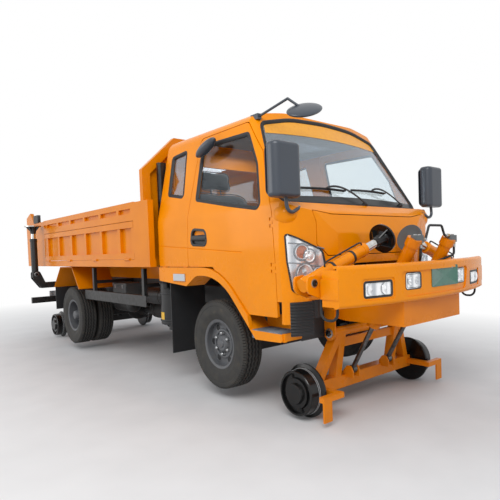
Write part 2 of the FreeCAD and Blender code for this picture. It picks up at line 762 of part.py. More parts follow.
def through_windows(grow):
    """All window openings of the fixed cab, pulled through its walls."""
    return [
        prism("yz", windscreen(grow), 380, 1200),
        prism("yz", rear_window(grow), s.cab_rear - 100, s.cab_rear + 100),
        prism("xz", quarter_window(grow), -1000, -700),
        prism("xz", quarter_window(grow), 700, 1000),
    ]


def side_grooves():
    """The pressed line along each side of the cab, as two bars to cut with."""
    bars = []
    for _, side in SIDES:
        y = side * (s.cab_half_w + 2)
        bars.append(bar_between((s.cab_rear - 60, y, 1268), (470, y, 1178), 2 * s.panel_groove,
                                2 * s.panel_groove, Vector(0, 1, 1)))
    return Part.makeCompound(bars)


def handle_pocket(side, depth, grow):
    """The rounded recess behind a door handle, cut or filled to a depth from the door's skin."""
    g = grow
    outline = [(-262 - g, 1258 - g, 40), (-12 + g, 1246 - g, 40), (-32 + g, 1372 + g, 50),
               (-238 - g, 1392 + g, 50)]
    return prism("xz", outline, *sorted((side * (s.cab_half_w - depth), side * (s.cab_half_w + 60))))


def handle_bar(side):
    """The door handle's grip across its recess."""
    low, high = sorted((side * (s.cab_half_w - 20), side * (s.cab_half_w - 2)))
    return prism("xz", [(-258, 1300, 0), (-20, 1292, 0), (-22, 1328, 0), (-256, 1338, 0)], low, high)


def mirror_pods():
    """Rounded swellings of the cowl's corners that the mirror arms stand on."""
    pods = []
    for _, side in SIDES:
        ball = Part.makeSphere(95, Vector(900, side * (s.cab_half_w - 84), 1440))
        pods.append(ball.common(Part.makeBox(200, 400, 300, Vector(862, side * 850 - 200, 1300))))
    return pods


def cab():
    """Cab shell, floor, front lid, doors and glass, all cut from one hollow form."""
    wall, gap = s.cab_wall, s.gap
    outer = cab_solid(0).multiFuse(mirror_pods()).cut(side_grooves())
    inner = cab_solid(wall)
    walls = outer.cut(inner)
    under = cab_column(wall, 500, s.cab_floor_z + wall)
    slots = [prism("xz", door_outline(s.seam), y, y + 400) for y in (-1150, 750)]
    lid_slot = prism("yz", nose_panel(s.seam), 960, 1200)
    lamp_slots = [prism("yz", headlamp_outline(side, gap), 868, 1200) for _, side in SIDES]
    low_corners = Part.makeBox(400, 3000, 300, Vector(s.door_hinge_x, -1500, 512))
    tools = slots + [lid_slot, low_corners, prism("yz", grille_outline(0), 1000, 1200)] + lamp_slots
    shell = largest(walls.cut(under).cut(Part.makeCompound(tools + through_windows(0))))
    finish_shape("cab_shell", shell.fuse(door_hinge_straps()).removeSplitter())
    edge = s.cab_half_w - wall - 3 * s.seam
    sills = [prism("xz", door_outline(s.seam), *sorted((side * edge, side * 1150))) for _, side in SIDES]
    floor = cab_column(wall + gap, s.cab_floor_z, s.cab_floor_z + wall)
    finish_shape("cab_floor", largest(floor.cut(Part.makeCompound(sills))))
    lid = largest(walls.common(prism("yz", nose_panel(0), 960 + s.seam, 1200)))
    finish_shape("front_lid", lid.multiFuse(lid_hinges()).removeSplitter())
    pane = cab_solid(wall / 2).cut(cab_solid(wall / 2 + s.glass_t))
    fixed_pane = pane.cut(Part.makeCompound(slots))
    glass = [largest(fixed_pane.common(tool)) for tool in through_windows(-gap)]
    finish_shape("cab_glass", glass)
    core = Part.makeBox(1900, 2 * (s.cab_half_w - wall), 540, Vector(s.cab_rear, -s.cab_half_w + wall, 600))
    skins = walls.cut(core)
    for side_name, side in SIDES:
        low = -1150 if side < 0 else 750
        door = skins.common(prism("xz", door_outline(0), low, low + 400))
        door = door.cut(prism("xz", door_window(0), low, low + 400)).cut(door_hinge_notches(side))
        door = largest(door).cut(handle_pocket(side, 22, 0)).fuse(handle_bar(side))
        if side < 0:
            door = door.fuse(kerb_mirror())
        finish_shape(f"door_{side_name}", door.removeSplitter())
        panes = pane.common(prism("xz", door_window(-gap), low, low + 400))
        finish_shape(f"door_glass_{side_name}", largest(panes))


def kerb_mirror():
    """Small mirror over the right door's window, on a stub from the window frame."""
    y = -side_y(2110)
    head = ellipsoid((-60, y - 75, 2085), (Vector(0.93, 0, 0.37) * 150, Vector(0, 1, 0) * 48,
                                           Vector(-0.37, 0, 0.93) * 40))
    stub = tube_between((-60, y + 12, 2168), (-60, y - 75, 2100), 14)
    return head.fuse(stub)


def door_pin(side, z_low, length, radius):
    """An upright cylinder on a door's hinge line."""
    return Part.makeCylinder(radius, length, Vector(s.door_pin_x, side * (s.cab_half_w - s.door_pin_in), z_low))


def door_hinge_box(side, z_low, length, ahead, around):
    """An upright block round a door's hinge line, reaching forward to the cab's skin."""
    y = side * (s.cab_half_w - s.door_pin_in)
    return Part.makeBox(ahead + around, 2 * around, length, Vector(s.door_pin_x - around, y - around, z_low))


def door_hinge_straps():
    """Pin and two straps of each door hinge, on the cab's side of the seam."""
    straps, third = [], s.door_hinge_l / 3
    inside = cab_solid(1)
    for _, side in SIDES:
        for z in (s.door_hinge_low, s.door_hinge_high):
            straps.append(door_pin(side, z, s.door_hinge_l, s.door_pin_r))
            for low in (z, z + 2 * third):
                strap = door_hinge_box(side, low, third, s.door_hinge_x + 16 - s.door_pin_x, s.door_knuckle_r)
                straps.append(strap.common(inside))
    return straps


def door_hinge_notches(side):
    """Room in a door's front edge for the straps, and the bore for the pin."""
    third, tools = s.door_hinge_l / 3, []
    for z in (s.door_hinge_low, s.door_hinge_high):
        tools.append(door_pin(side, z - 1, s.door_hinge_l + 2, s.door_pin_r + s.fit))
        for low in (z - 1, z + 2 * third - s.fit):
            tools.append(door_hinge_box(side, low, third + 1 + s.fit, 60, 3 * s.door_knuckle_r))
    return Part.makeCompound(tools)


def largest(shape):
    """The largest solid of a shape, leaving slivers of a cut behind."""
    return max(shape.Solids, key=lambda solid: solid.Volume)


def lid_hinges():
    """Two hinge straps behind the top of the front lid, reaching over its seam to the cab."""
    straps = []
    for y in (-450, 410):
        strap = Part.makeBox(120, 40, 70, Vector(930, y, 1420)).common(cab_solid(s.cab_wall + s.gap))
        root = Part.makeBox(120, 40, 14, Vector(930, y, 1420)).common(cab_solid(s.cab_wall - 4))
        straps += [strap, root]
    return straps


def seat_shape(y, width):
    """One seat as plain solids: base, cushion, leaning back and headrest on a post."""
    floor_top = s.cab_floor_z + s.cab_wall + s.gap
    base = Part.makeBox(440, width - 60, 150, Vector(-470, y - width / 2 + 30, floor_top))
    cushion = Part.makeBox(520, width, 130, Vector(-510, y - width / 2, floor_top + 140))
    back = bar_between((-500, y, s.cab_floor_z + 230), (-640, y, 1800), width, 110)
    rest = bar_between((-640, y, 1770), (-672, y, 2020), width * 0.5, 90)
    return fused([base, cushion, back, rest])


def cab_inside():
    """Seats, dashboard and the steering wheel on its column."""
    finish_shape("seats", [seat_shape(520, 500), seat_shape(-390, 760)])
    floor_top = s.cab_floor_z + s.cab_wall + s.gap
    dash = [(640, floor_top, 0), (640, 1390, 40), (720, 1470, 60), (860, 1500, 20), (925, 1440, 0),
            (925, 1180, 0), (780, floor_top, 0)]
    board = prism("xz", dash, -840, 840).common(cab_solid(s.cab_wall + s.gap))
    centre = Vector(s.wheel_x, s.wheel_y, s.wheel_z)
    tilt = Rotation(Vector(0, 1, 0), -s.wheel_tilt)
    down = tilt.multVec(Vector(0, 0, -1))
    column = tube_between(centre + down * 260, centre + down * (40 + s.gap), 34)
    finish_shape("dashboard", fused([board, column]))
    wheel = Part.makeTorus(205, 15)
    hub = Part.makeCylinder(38, 46, Vector(0, 0, -40))
    spokes = [Part.makeBox(200, 34, 12, Vector(0, -17, -12)) for _ in range(3)]
    for spoke, turn in zip(spokes, (0, 120, 240)):
        spoke.rotate(Vector(), Vector(0, 0, 1), turn)
    shape = fused([wheel, hub] + spokes)
    shape.Placement = Placement(centre, tilt)
    finish_shape("steering_wheel", shape)


cab()
cab_inside()


# ---------------------------------------------------------------- front end
def bowed_strip(front_back, rear_back, z_low, z_high):
    """A level strip between two bowed lines, each set back from the bumper's face."""
    half = s.bumper_half_w
    front = Part.Arc(Vector(s.bumper_end_x - front_back, -half, 0),
                     Vector(s.bumper_x - front_back, 0, 0),
                     Vector(s.bumper_end_x - front_back, half, 0)).toShape()
    rear = Part.Arc(Vector(s.bumper_end_x - rear_back, half, 0),
                    Vector(s.bumper_x - rear_back, 0, 0),
                    Vector(s.bumper_end_x - rear_back, -half, 0)).toShape()
    sides = [Part.makeLine(front.Vertexes[1].Point, rear.Vertexes[0].Point),
             Part.makeLine(rear.Vertexes[1].Point, front.Vertexes[0].Point)]
    strip = Part.Face(Part.Wire([front, sides[0], rear, sides[1]])).extrude(Vector(0, 0, z_high - z_low))
    strip.translate(Vector(0, 0, z_low))
    return strip


LAMP_HOLES = (  # lamp openings in the bumper: y middle, half width, z low, z high
    (-663, 118, 858, 960), (663, 118, 858, 960), (-327, 80, 888, 996), (327, 80, 888, 996),
)


def bumper_skin():
    """Pressed channel with rounded edges, a sunk middle panel and sunk frames round the lamps."""
    low, top, thick = s.bumper_low, s.bumper_top, s.bumper_t
    outer = bowed_strip(0, 42, low, top)
    edges = [e for e in outer.Edges if e.BoundBox.XMax > s.bumper_x - 10 and e.BoundBox.YLength > 900]
    outer = outer.makeFillet(24, edges)
    skin = outer.cut(bowed_strip(thick, 60, low + thick, top - thick))
    middle = prism("yz", [(-420, 836, 30), (-470, 1012, 30), (470, 1012, 30), (420, 836, 30)], 1300, 1700)
    frames = [prism("yz", [(side * 523, 838, 20), (side * 528, 980, 20),
                           (side * 803, 980, 20), (side * 808, 838, 20)], 1300, 1700)
              for _, side in SIDES]
    skin = skin.cut(bowed_strip(-60, 10, 700, 1200).common(middle))
    skin = skin.cut(bowed_strip(-60, 6, 700, 1200).common(Part.makeCompound(frames)))
    pockets = [Part.makeBox(400, 2 * half, z1 - z0, Vector(1350, y - half, z0))
               for y, half, z0, z1 in LAMP_HOLES]
    return skin.cut(Part.makeCompound(pockets))


def front_end():
    """Bumper channel with its inner beam and jack clevises; below it the gear carrier."""
    pieces = [bumper_skin()]
    beam_back, beam_z, beam_h = s.bumper_x - 140, s.bumper_low + 58, 90
    inner = s.rail_y - s.gap
    pieces.append(Part.makeBox(70, 2 * inner, beam_h, Vector(beam_back, -inner, beam_z)))
    pieces += [Part.makeBox(53, 16, beam_h - 6, Vector(beam_back + 69, y - 8, beam_z)) for y in (-180, 180)]
    pieces += trunnion_ears(s.front_trunnion_x, s.front_trunnion_z, beam_back + 50, beam_z,
                            s.front_trunnion_z)
    plate_out = s.rail_y + s.gap + s.plate_t
    clevis_back = s.bumper_end_x - 137
    for _, side in SIDES:
        end_low = min(side * (s.bumper_half_w - 170), side * (s.bumper_half_w + 6))
        pieces.append(Part.makeBox(150, 176, 130, Vector(s.bumper_end_x - 150, end_low, beam_z)))
        rib_y = side * (s.bumper_half_w - 8) - 8
        pieces.append(Part.makeBox(s.bumper_end_x - 1325, 16, 236, Vector(1325, rib_y, s.bumper_low + 9)))
        near, far = sorted((side * (plate_out + s.gap), side * (s.bumper_half_w - 162)))
        pieces.append(Part.makeBox(56, far - near, 70, Vector(s.bumper_end_x - 33, near, beam_z + 8)))
        pieces.append(jack_clevis(s.jack_x, side * s.jack_y, s.jack_z, side, clevis_back, 858, 988))
    finish_shape("front_bumper", fused(pieces))
    carrier = []
    back = s.gear_pivot_x - 70
    for _, side in SIDES:
        near, far = sorted((side * (s.rail_y + s.gap), side * plate_out))
        outline = [(back, s.rail_top - 160, 0), (back, s.carrier_low + 20, 20), (back + 160, s.carrier_low, 0),
                   (s.carrier_front, s.carrier_low, 0), (s.carrier_front, 930, 0), (1434, 930, 0),
                   (1434, 806, 30), (back, 806, 0)]
        carrier.append(prism("xz", outline, near, far))
        carrier.append(gear_hanger(side, s.gear_pivot_x, 70))
    carrier.append(Part.makeBox(12, 2 * plate_out, 186,
                                Vector(s.carrier_front - 12, -plate_out, s.carrier_low)))
    finish_shape("gear_carrier", fused(carrier))


def jack_clevis(x, y, z, side, back, z_low, z_high):
    """Two cheeks either side of a jack leg, standing on a base block beside the bumper's end."""
    pieces = []
    for way in (-1, 1):
        cheek_x = x + way * (s.jack_barrel_r + 12) - 8
        outline = [(y + side * 62, z + 40, 30), (y + side * 62, z - 60, 50),
                   (y - side * 60, z - 107, 10), (y - side * 90, z - 107, 0),
                   (y - side * 90, z + 10, 0), (y - side * 20, z + 52, 30)]
        pieces.append(prism("yz", outline, cheek_x, cheek_x + 16))
    inner, outer = sorted((y - side * 90, y - side * (s.jack_barrel_r + 8)))
    pieces.append(Part.makeBox(back - x + s.jack_barrel_r + 14, outer - inner, 14,
                               Vector(x - s.jack_barrel_r - 14, inner, z - 107)))
    inner, outer = sorted((y - side * 90, y - side * 60))
    pieces.append(Part.makeBox(back - x - s.jack_barrel_r - 8, outer - inner, 117,
                               Vector(x + s.jack_barrel_r + 8, inner, z - 107)))
    cheeks = fused(pieces)
    return cheeks.cut(Part.makeCylinder(s.jack_pin_r + s.fit, 300, Vector(x - 150, y, z), Vector(1, 0, 0)))


front_end()


# ---------------------------------------------------------------- pieces hung on the frame
def frame_boxes():
    """Fuel tank on the left and battery box on the right, each against its frame rail."""
    rear = -s.wheelbase
    tank = box("tank", ("-wheelbase + 781", -1560), ("rail_y + gap", 780), (470, "rail_top - 60"))
    battery = box("battery", ("-wheelbase + 581", "-wheelbase + 971"), (-620, "-rail_y - gap"), (640, 826))
    finish("frame_boxes", grouped("box_pieces", [tank, battery]))


def air_intake():
    """Filter canister behind the cab with its spout and the tall intake pipe."""
    x, y, pipe_x, pipe_y = -1020, -720, -915, -s.bed_half_w + 180
    canister = Part.makeCylinder(125, 430, Vector(x, y, 470))
    neck = Part.makeCylinder(50, 130, Vector(x, y, 395))
    lower = Part.makeCylinder(44, 700, Vector(pipe_x, pipe_y, 845))
    upper = Part.makeBox(70, 88, 560, Vector(pipe_x - 35, pipe_y - 44, 1530))
    upper = upper.makeFillet(24, [e for e in upper.Edges if e.Length > 500])
    elbow = tube_between((x + 20, y - 25, 860), (pipe_x, pipe_y, 870), 44)
    bracket = Part.makeBox(60, -y - s.rail_y - s.gap, 40, Vector(-1050, y, 740))
    finish_shape("air_intake", fused([canister, neck, lower, upper, elbow, bracket]))


def side_guards():
    """Channel-section guards between the axles, hung on posts from arms off the frame."""
    guards, rear = [], -s.wheelbase + 356
    length, posts_x = -1260 - rear, (rear + 270, -1345)
    for _, side in SIDES:
        low, high = sorted((side * 862, side * 905))
        web = Part.makeBox(length, 6, 118, Vector(rear, side * 902 - 3, 630))
        flanges = [Part.makeBox(length, 43, 6, Vector(rear, low, z)) for z in (630, 742)]
        posts = [Part.makeBox(50, 40, 300, Vector(x, low + 1.5, 736)) for x in posts_x]
        near, far = sorted((side * (s.rail_y + s.gap), side * 895))
        arms = [Part.makeBox(50, far - near, 40, Vector(x, near, s.rail_top + 6)) for x in posts_x]
        guards.append(fused([web] + flanges + posts + arms))
    finish_shape("side_guards", guards)


def rear_mudguards():
    """Angular sheet mudguards over the rear wheels, each on a stay from the frame."""
    mudguards, x = [], -s.wheelbase
    outer = [(x - 651, 750, 10), (x - 339, 1050, 14), (x + 129, 1050, 14), (x + 366, 757, 10)]
    inner = [(x + 396, 700, 0), (x + 122, 1040, 14), (x - 332, 1040, 14), (x - 689, 700, 0)]
    for _, side in SIDES:
        low, high = sorted((side * 500, side * 985))
        sheet = prism("xz", outer, low, high).cut(prism("xz", inner, low - 5, high + 5))
        stay = Part.makeBox(60, 500 - s.rail_y - s.gap + 30, 30,
                            Vector(x - 139, min(side * (s.rail_y + s.gap), side * 530), 1012))
        drop = Part.makeBox(60, 30, 1042 - 770, Vector(x - 139, side * (s.rail_y + s.gap + 15) - 15, 770))
        mudguards.append(fused([sheet, stay, drop]))
    finish_shape("rear_mudguards", mudguards)


def fender_low_z(x):
    """Height of the fender's lower edge behind the arch."""
    return s.fender_low + (x - s.cab_rear) * (887 - s.fender_low) / (-355 - s.cab_rear)


def splash_panels():
    """Mudflaps behind the front and rear wheels and splash sheets ahead of the front wheels."""
    flaps = []
    inside = cab_column(28 + s.gap, 500, 900)
    for _, side in SIDES:
        low, high = sorted((side * 560, side * (s.cab_half_w - 5)))
        flaps.append(Part.makeBox(8, high - low, fender_low_z(-660) - 230 - s.gap, Vector(-668, low, 230)))
        flaps.append(Part.makeBox(8, 440, 323 - s.gap,
                                  Vector(-s.wheelbase - 640, min(side * 530, side * 970), 430)))
        low, high = sorted((side * (s.gear_pivot_y + s.gap), side * 740))
        flaps.append(Part.makeBox(10, high - low, 200, Vector(885, low, 500)))
        low, high = sorted((side * 640, side * s.cab_half_w))
        flaps.append(Part.makeBox(8, high - low, 252 - s.gap, Vector(1000, low, 560)).common(inside))
    finish_shape("splash_panels", flaps)


def fender_band(low, high):
    """The fender's face between the door's lower edge and the wheel arch, with the step's front."""
    g = s.seam
    outline = [
        (s.cab_rear, s.fender_top, 5), (s.cab_rear, s.fender_low, 10), (-355, 887, 12),
        (-187, s.arch_top, 200), (162, s.arch_top, 560), (612, s.step_z - 77, 20),
        (912, s.step_z - 69, 20), (905, s.step_z - 10, 5), (546, s.step_z - 10, 10),
        (521 - 0.41 * g, s.door_low - g, 0), (162 - 0.41 * g, s.fender_top, 600 + g),
    ]
    return prism("xz", outline, low, high)


def arch_liner(low, high):
    """Thin hoop that turns in from the edge of the wheel arch."""
    edge = [(-355, 887, 0), (-187, s.arch_top, 200), (162, s.arch_top, 560), (612, s.step_z - 77, 0)]
    back = [(618, s.step_z - 72, 0), (166, s.arch_top + 8, 560), (-189, s.arch_top + 8, 200), (-359, 894, 0)]
    return prism("xz", edge + back, low, high)


def cab_steps():
    """Fender with its arch, boarding step and narrow post, one pressing on each side."""
    steps, half = [], s.cab_half_w
    skirt = cab_column(0, 540, 812 - s.gap).cut(cab_column(28, 500, 900))
    for _, side in SIDES:
        face = fender_band(*sorted((side * (half - 28), side * (half + 7))))
        liner = arch_liner(*sorted((side * (half - 190), side * (half - 20))))
        low, high = sorted((side * (half - 200), side * (half - 10)))
        tread = Part.makeBox(345, high - low, 58, Vector(556, low, s.step_z - 68))
        riser = prism("xz", [(530, s.step_z - 60, 0), (905, s.step_z - 60, 0), (905, s.door_low - 8, 0),
                             (530, s.door_low - 8, 0)], *sorted((side * (half - 200), side * (half - 188))))
        post = prism("xz", [(893, 560, 10), (1018, 572, 10), (1028, 812 - s.gap, 0), (905, 812 - s.gap, 0)],
                     *sorted((side * (half - 200), side * (half + 20)))).common(skirt)
        toe = Part.makeBox(40, 24, 60, Vector(880, min(side * (half - 34), side * (half - 10)), s.step_z - 68))
        hooks = [Part.makeBox(60, 20, 30, Vector(x, side * (half - 18) - 10, s.cab_floor_z - 30 - s.gap))
                 for x in (-800, -420)]
        steps.append(fused([face, liner, tread, riser, post, toe] + hooks))
    finish_shape("cab_steps", steps)


def rear_carrier():
    """Outriggers of the rear jack legs, hangers of the rear rail gear, and the underrun bar."""
    low_z = s.rail_top - s.rail_h
    carrier = []
    for _, side in SIDES:
        near, far = sorted((side * (s.rail_y + s.gap), side * (rear_jack_y() - 62)))
        beam = Part.makeBox(100, far - near, 84, Vector(s.rear_jack_x - 50, near, 740))
        carrier.append(beam.fuse(jack_cheeks(side)))
        carrier.append(gear_hanger(side, s.rear_gear_pivot_x, 70))
    bar = [Part.makeBox(60, 1900, s.underrun_h, Vector(s.underrun_x, -950, s.underrun_z))]
    front = s.rail_rear + 150
    for _, side in SIDES:
        outline = [(front, low_z + 8, 0), (front, low_z + 170, 0), (s.rail_rear - 40, low_z + 170, 40),
                   (s.underrun_x + 15, s.underrun_z + s.underrun_h, 0), (s.underrun_x + 15, s.underrun_z + 8, 0),
                   (s.underrun_x + 85, s.underrun_z + 8, 40)]
        near, far = sorted((side * (s.rail_y + s.gap), side * (s.rail_y + s.gap + s.plate_t)))
        bar.append(prism("xz", outline, near, far))
    finish_shape("rear_carrier", carrier + [fused(bar)])


def rear_jack_y():
    """How far out the rear jack legs stand."""
    return s.bed_half_w + s.rear_jack_out


def jack_cheeks(side):
    """Clevis of a rear jack leg at the end of its cross beam."""
    x, y, z = s.rear_jack_x, side * rear_jack_y(), s.rear_jack_z
    cheeks = []
    for way in (-1, 1):
        cheek_x = x + way * (s.jack_barrel_r + 12) - 6
        outline = [(y - side * 120, 742, 0), (y - side * 62, 742, 0), (y + side * 46, z - 60, 40),
                   (y + side * 46, z + 44, 40), (y - side * 46, z + 44, 40), (y - side * 120, 822, 0)]
        cheeks.append(prism("yz", outline, cheek_x, cheek_x + 12))
    inner, outer = sorted((y - side * 120, y - side * 64))
    cheeks.append(Part.makeBox(140, outer - inner, 82, Vector(x - 70, inner, 741)))
    body = fused(cheeks)
    return body.cut(Part.makeCylinder(s.jack_pin_r + s.fit, 300, Vector(x - 150, y, z), Vector(1, 0, 0)))


def mirrors():
    """Main mirror on each side on a bent arm from the cowl, and one blind-spot mirror."""
    pieces = []
    cab = cab_solid(0).multiFuse(mirror_pods())
    for _, side in SIDES:
        y = s.cab_half_w + 14
        head = Part.makeBox(124, 256, 380, Vector(930, side * y - 128, 1546))
        head = head.makeFillet(52, [e for e in head.Edges if e.Length > 370])
        head = head.makeFillet(28, [e for e in head.Edges if e.BoundBox.ZLength < 1])
        arm = hose([(990, side * (y - 10), 1600), (1005, side * (y - 14), 1420),
                    (985, side * (y - 160), 1490), (950, side * (y - 170), 1490)], 13, 50)
        pieces.append(head.fuse(arm).cut(cab))
    head = ellipsoid((850, 13 - s.cab_half_w * 0.635, 2242),
                     (Vector(0, 0.93, 0.37) * 178, Vector(-0.864, -0.187, 0.47) * 100,
                      Vector(0.505, -0.319, 0.802) * 30))
    clamp_y = 216 - s.cab_half_w
    arm = [tube_between((455, clamp_y, 2250), (770, clamp_y + 44, 2330), 10),
           Part.makeSphere(10, Vector(770, clamp_y + 44, 2330)),
           tube_between((770, clamp_y + 44, 2330), (850, clamp_y + 134, 2244), 10)]
    foot = Part.makeBox(90, 40, 44, Vector(400, clamp_y - 22, 2232))
    pieces.append(fused(arm + [head, foot]).cut(cab))
    finish_shape("mirrors", pieces)


def lamps():
    """Lamp glasses and housings: headlamps, bumper lamps, side and tail lamps, roof beacon."""
    pieces = []
    for y, half, z0, z1 in LAMP_HOLES:
        opening = Part.makeBox(400, 2 * (half - s.gap), 200, Vector(1300, y - half + s.gap, z0))
        pieces.append(bowed_strip(8, 30, z0 + s.gap, z1 - s.gap).common(opening))
    cab = cab_solid(0)
    shell = cab_solid(-3).cut(cab_solid(s.cab_wall))
    for _, side in SIDES:
        pieces.append(largest(shell.common(prism("yz", headlamp_outline(side, 0), 868, 1200))))
        low, high = sorted((side * (s.cab_half_w + 7 + s.gap), side * (s.cab_half_w + 20)))
        lamp = Part.makeBox(200, high - low, 68, Vector(-564, low, 930))
        pieces.append(lamp.makeFillet(5, [e for e in lamp.Edges if e.BoundBox.YLength < 1]))
        pieces.append(Part.makeBox(40, 220, 90, Vector(s.underrun_x, side * 560 - 110,
                                                       s.underrun_z + s.underrun_h + s.gap)))
    pieces.append(Part.makeCylinder(60, 120, Vector(60, -20, s.roof_z - 30)).cut(cab))
    finish_shape("lamps", pieces)


def hoses():
    """Hydraulic hoses at the front end, each held at both ends."""
    head_y, head_z, beam_top = s.gear_cyl_y, 1204.6, s.bumper_low + 148
    bridge = [(80.3 - head_y, 1228), (130 - head_y, 1228), (180 - head_y, 1330), (head_y - 120, 1330),
              (head_y - 80, 1254), (head_y - 20.3, 1254)]
    runs = [hose([(1562, y, z) for y, z in bridge], 9, 30)]
    for start_y, end_y in ((65 - head_y, 150 - head_y), (head_y + 65, head_y - 180)):
        runs.append(hose([(1560, start_y, head_z - s.gap), (1560, start_y, head_z - 100),
                          (1490, end_y, head_z - 165), (1490, end_y, beam_top + s.gap)], 9, 30))
    for _, side in SIDES:
        end_z = s.bumper_low + 58 - s.gap
        runs.append(hose([(1420, side * 935, end_z), (1420, side * 935, end_z - 140),
                          (1290, side * 945, end_z - 140), (1290, side * 945, end_z)], 9, 55))
    finish_shape("hoses", runs)


frame_boxes()
air_intake()
side_guards()
rear_mudguards()
splash_panels()
cab_steps()
rear_carrier()
mirrors()
lamps()
hoses()


# ---------------------------------------------------------------- dump bed
def bed():
    """Bed with floor, corner posts, front wall with its headboard, and sills; sides are separate."""
    half, rear, front = s.bed_half_w, s.bed_rear, s.bed_front
    wall_front = s.head_x
    pieces = [Part.makeBox(wall_front - rear, 2 * half - 80, 40, Vector(rear, -half + 40, 1090))]
    for _, side in SIDES:
        low, high = sorted((side * (half - 70), side * half))
        pieces.append(Part.makeBox(front - rear, 70, s.bed_hinge_z - s.bed_bottom - 4,
                                   Vector(rear, low, s.bed_bottom)))
        pieces.append(Part.makeBox(s.board_rear - s.seam - rear, 60, s.bed_top - s.bed_bottom - 8,
                                   Vector(rear, min(side * half, side * (half - 60)), s.bed_bottom)))
        pieces.append(Part.makeBox(front - s.board_front - s.seam, 60, s.bed_top - s.bed_bottom - 8,
                                   Vector(s.board_front + s.seam, min(side * half, side * (half - 60)),
                                          s.bed_bottom)))
        pieces.append(top_rail(side))
        pieces.append(rear_ear(side))
        y_beam = side * (s.rail_y - s.rail_flange / 2) - s.rail_flange / 2
        pad_top = s.rail_top + s.pad_h
        pieces.append(Part.makeBox(3640, s.rail_flange, 1100 - pad_top - s.gap,
                                   Vector(-4640, y_beam, pad_top + s.gap)))
        pieces.append(Part.makeBox(200, s.rail_flange, 120, Vector(-4840, y_beam, 975)))
        near, far = sorted((side * (s.rail_y - s.rail_flange - 6), side * (s.rail_y - s.rail_flange - 22)))
        pieces.append(Part.makeBox(80, far - near, 180, Vector(s.tip_x - 40, near, s.tip_z)))
        pieces.append(Part.makeBox(80, far - near + 20, 30, Vector(s.tip_x - 40, near - 10, 1060)))
        pieces.append(Part.makeCylinder(40, far - near, Vector(s.tip_x, near, s.tip_z), Vector(0, 1, 0)))
    for x in range(-4900, -1000, 480):
        pieces.append(Part.makeBox(50, 2 * half - 100, 34, Vector(x, -half + 50, 1060)))
    wall = Part.makeBox(60, 2 * half, s.head_side_z - s.bed_bottom,
                        Vector(wall_front - 60, -half, s.bed_bottom))
    pieces.append(wall)
    head = [(-half, s.head_side_z - 8, 0), (half, s.head_side_z - 8, 0), (half, s.head_side_z, 0),
            (s.head_top_half_w, s.head_top_z, 0), (-s.head_top_half_w, s.head_top_z, 0),
            (-half, s.head_side_z, 0)]
    pieces.append(prism("yz", head, wall_front - 60, wall_front))
    sunk = [(-half + 85, s.bed_hinge_z + 5, 25), (half - 85, s.bed_hinge_z + 5, 25),
            (half - 85, s.head_side_z - 40, 25), (s.head_top_half_w - 36, s.head_top_z - 80, 25),
            (36 - s.head_top_half_w, s.head_top_z - 80, 25), (-half + 85, s.head_side_z - 40, 25)]
    for y in (-30, 18):
        pieces.append(Part.makeBox(120, 12, 110, Vector(s.hoist_eye_x - 60, y * 1.6, 985)))
    body = fused(pieces).cut(prism("yz", sunk, wall_front - 40, wall_front + 10))
    body = body.cut(Part.makeCylinder(s.tip_pin_r + s.fit, 900, Vector(s.tip_x, -450, s.tip_z), Vector(0, 1, 0)))
    knuckles, notches = side_hinges(False)
    body = body.cut(notches).fuse(knuckles + [mirrored(k) for k in knuckles] + gate_pins(s.gate_pin_r))
    finish_shape("bed_body", body)


def top_rail(side):
    """Fixed rail above a drop side: two long lips with short stakes in the groove between them."""
    length, out = s.board_front - s.board_rear + 40, side * s.bed_half_w
    rail = Part.makeBox(length, 60, s.bed_top - s.board_top - s.seam,
                        Vector(s.board_rear - 20, min(out, out - side * 60), s.board_top + s.seam))
    groove = prism("xz", [(s.board_rear + 6, s.bed_top - 115, 0), (s.board_front - 49, s.bed_top - 115, 0),
                          (s.board_front - 49, s.bed_top - 64, 0), (s.board_rear + 6, s.bed_top - 64, 0)],
                   *sorted((out + side * 10, out - side * 28)))
    stakes = [Part.makeBox(s.stake_w, 60, 60, Vector(s.board_rear + x, min(out, out - side * 60),
                                                     s.bed_top - 120)) for x in stake_places()]
    return rail.cut(groove.cut(Part.makeCompound(stakes)))


def rear_ear(side):
    """Raised corner plate at the rear end of the bed's side."""
    top, x = s.bed_top, s.bed_rear
    outline = [(x, top - 30, 0), (x, top + 96, 12), (x + 217, top + 166, 20), (x + 365, top + 23, 20),
               (x + 380, top - 30, 0)]
    return prism("xz", outline, *sorted((side * (s.bed_half_w - 6), side * (s.bed_half_w - 52))))


def stake_places():
    """Rear edges of the upright stakes, from the rear end of a drop side."""
    length = s.board_front - s.board_rear
    return [length - s.stake_w - k * 494 - 330 for k in range(6)]


def side_hinge_points():
    """Places of the hinges along the right drop side."""
    span = s.board_front - s.board_rear
    return [s.board_rear + span * share for share in (0.05, 0.35, 0.65, 0.95)]


def hinge_barrel(x, length, radius):
    """A cylinder along X on the right drop side's hinge line, centred on x."""
    y, z = -s.bed_half_w - s.side_hinge_out, s.bed_hinge_z - s.side_hinge_down
    return Part.makeCylinder(radius, length, Vector(x - length / 2, y, z), Vector(1, 0, 0))


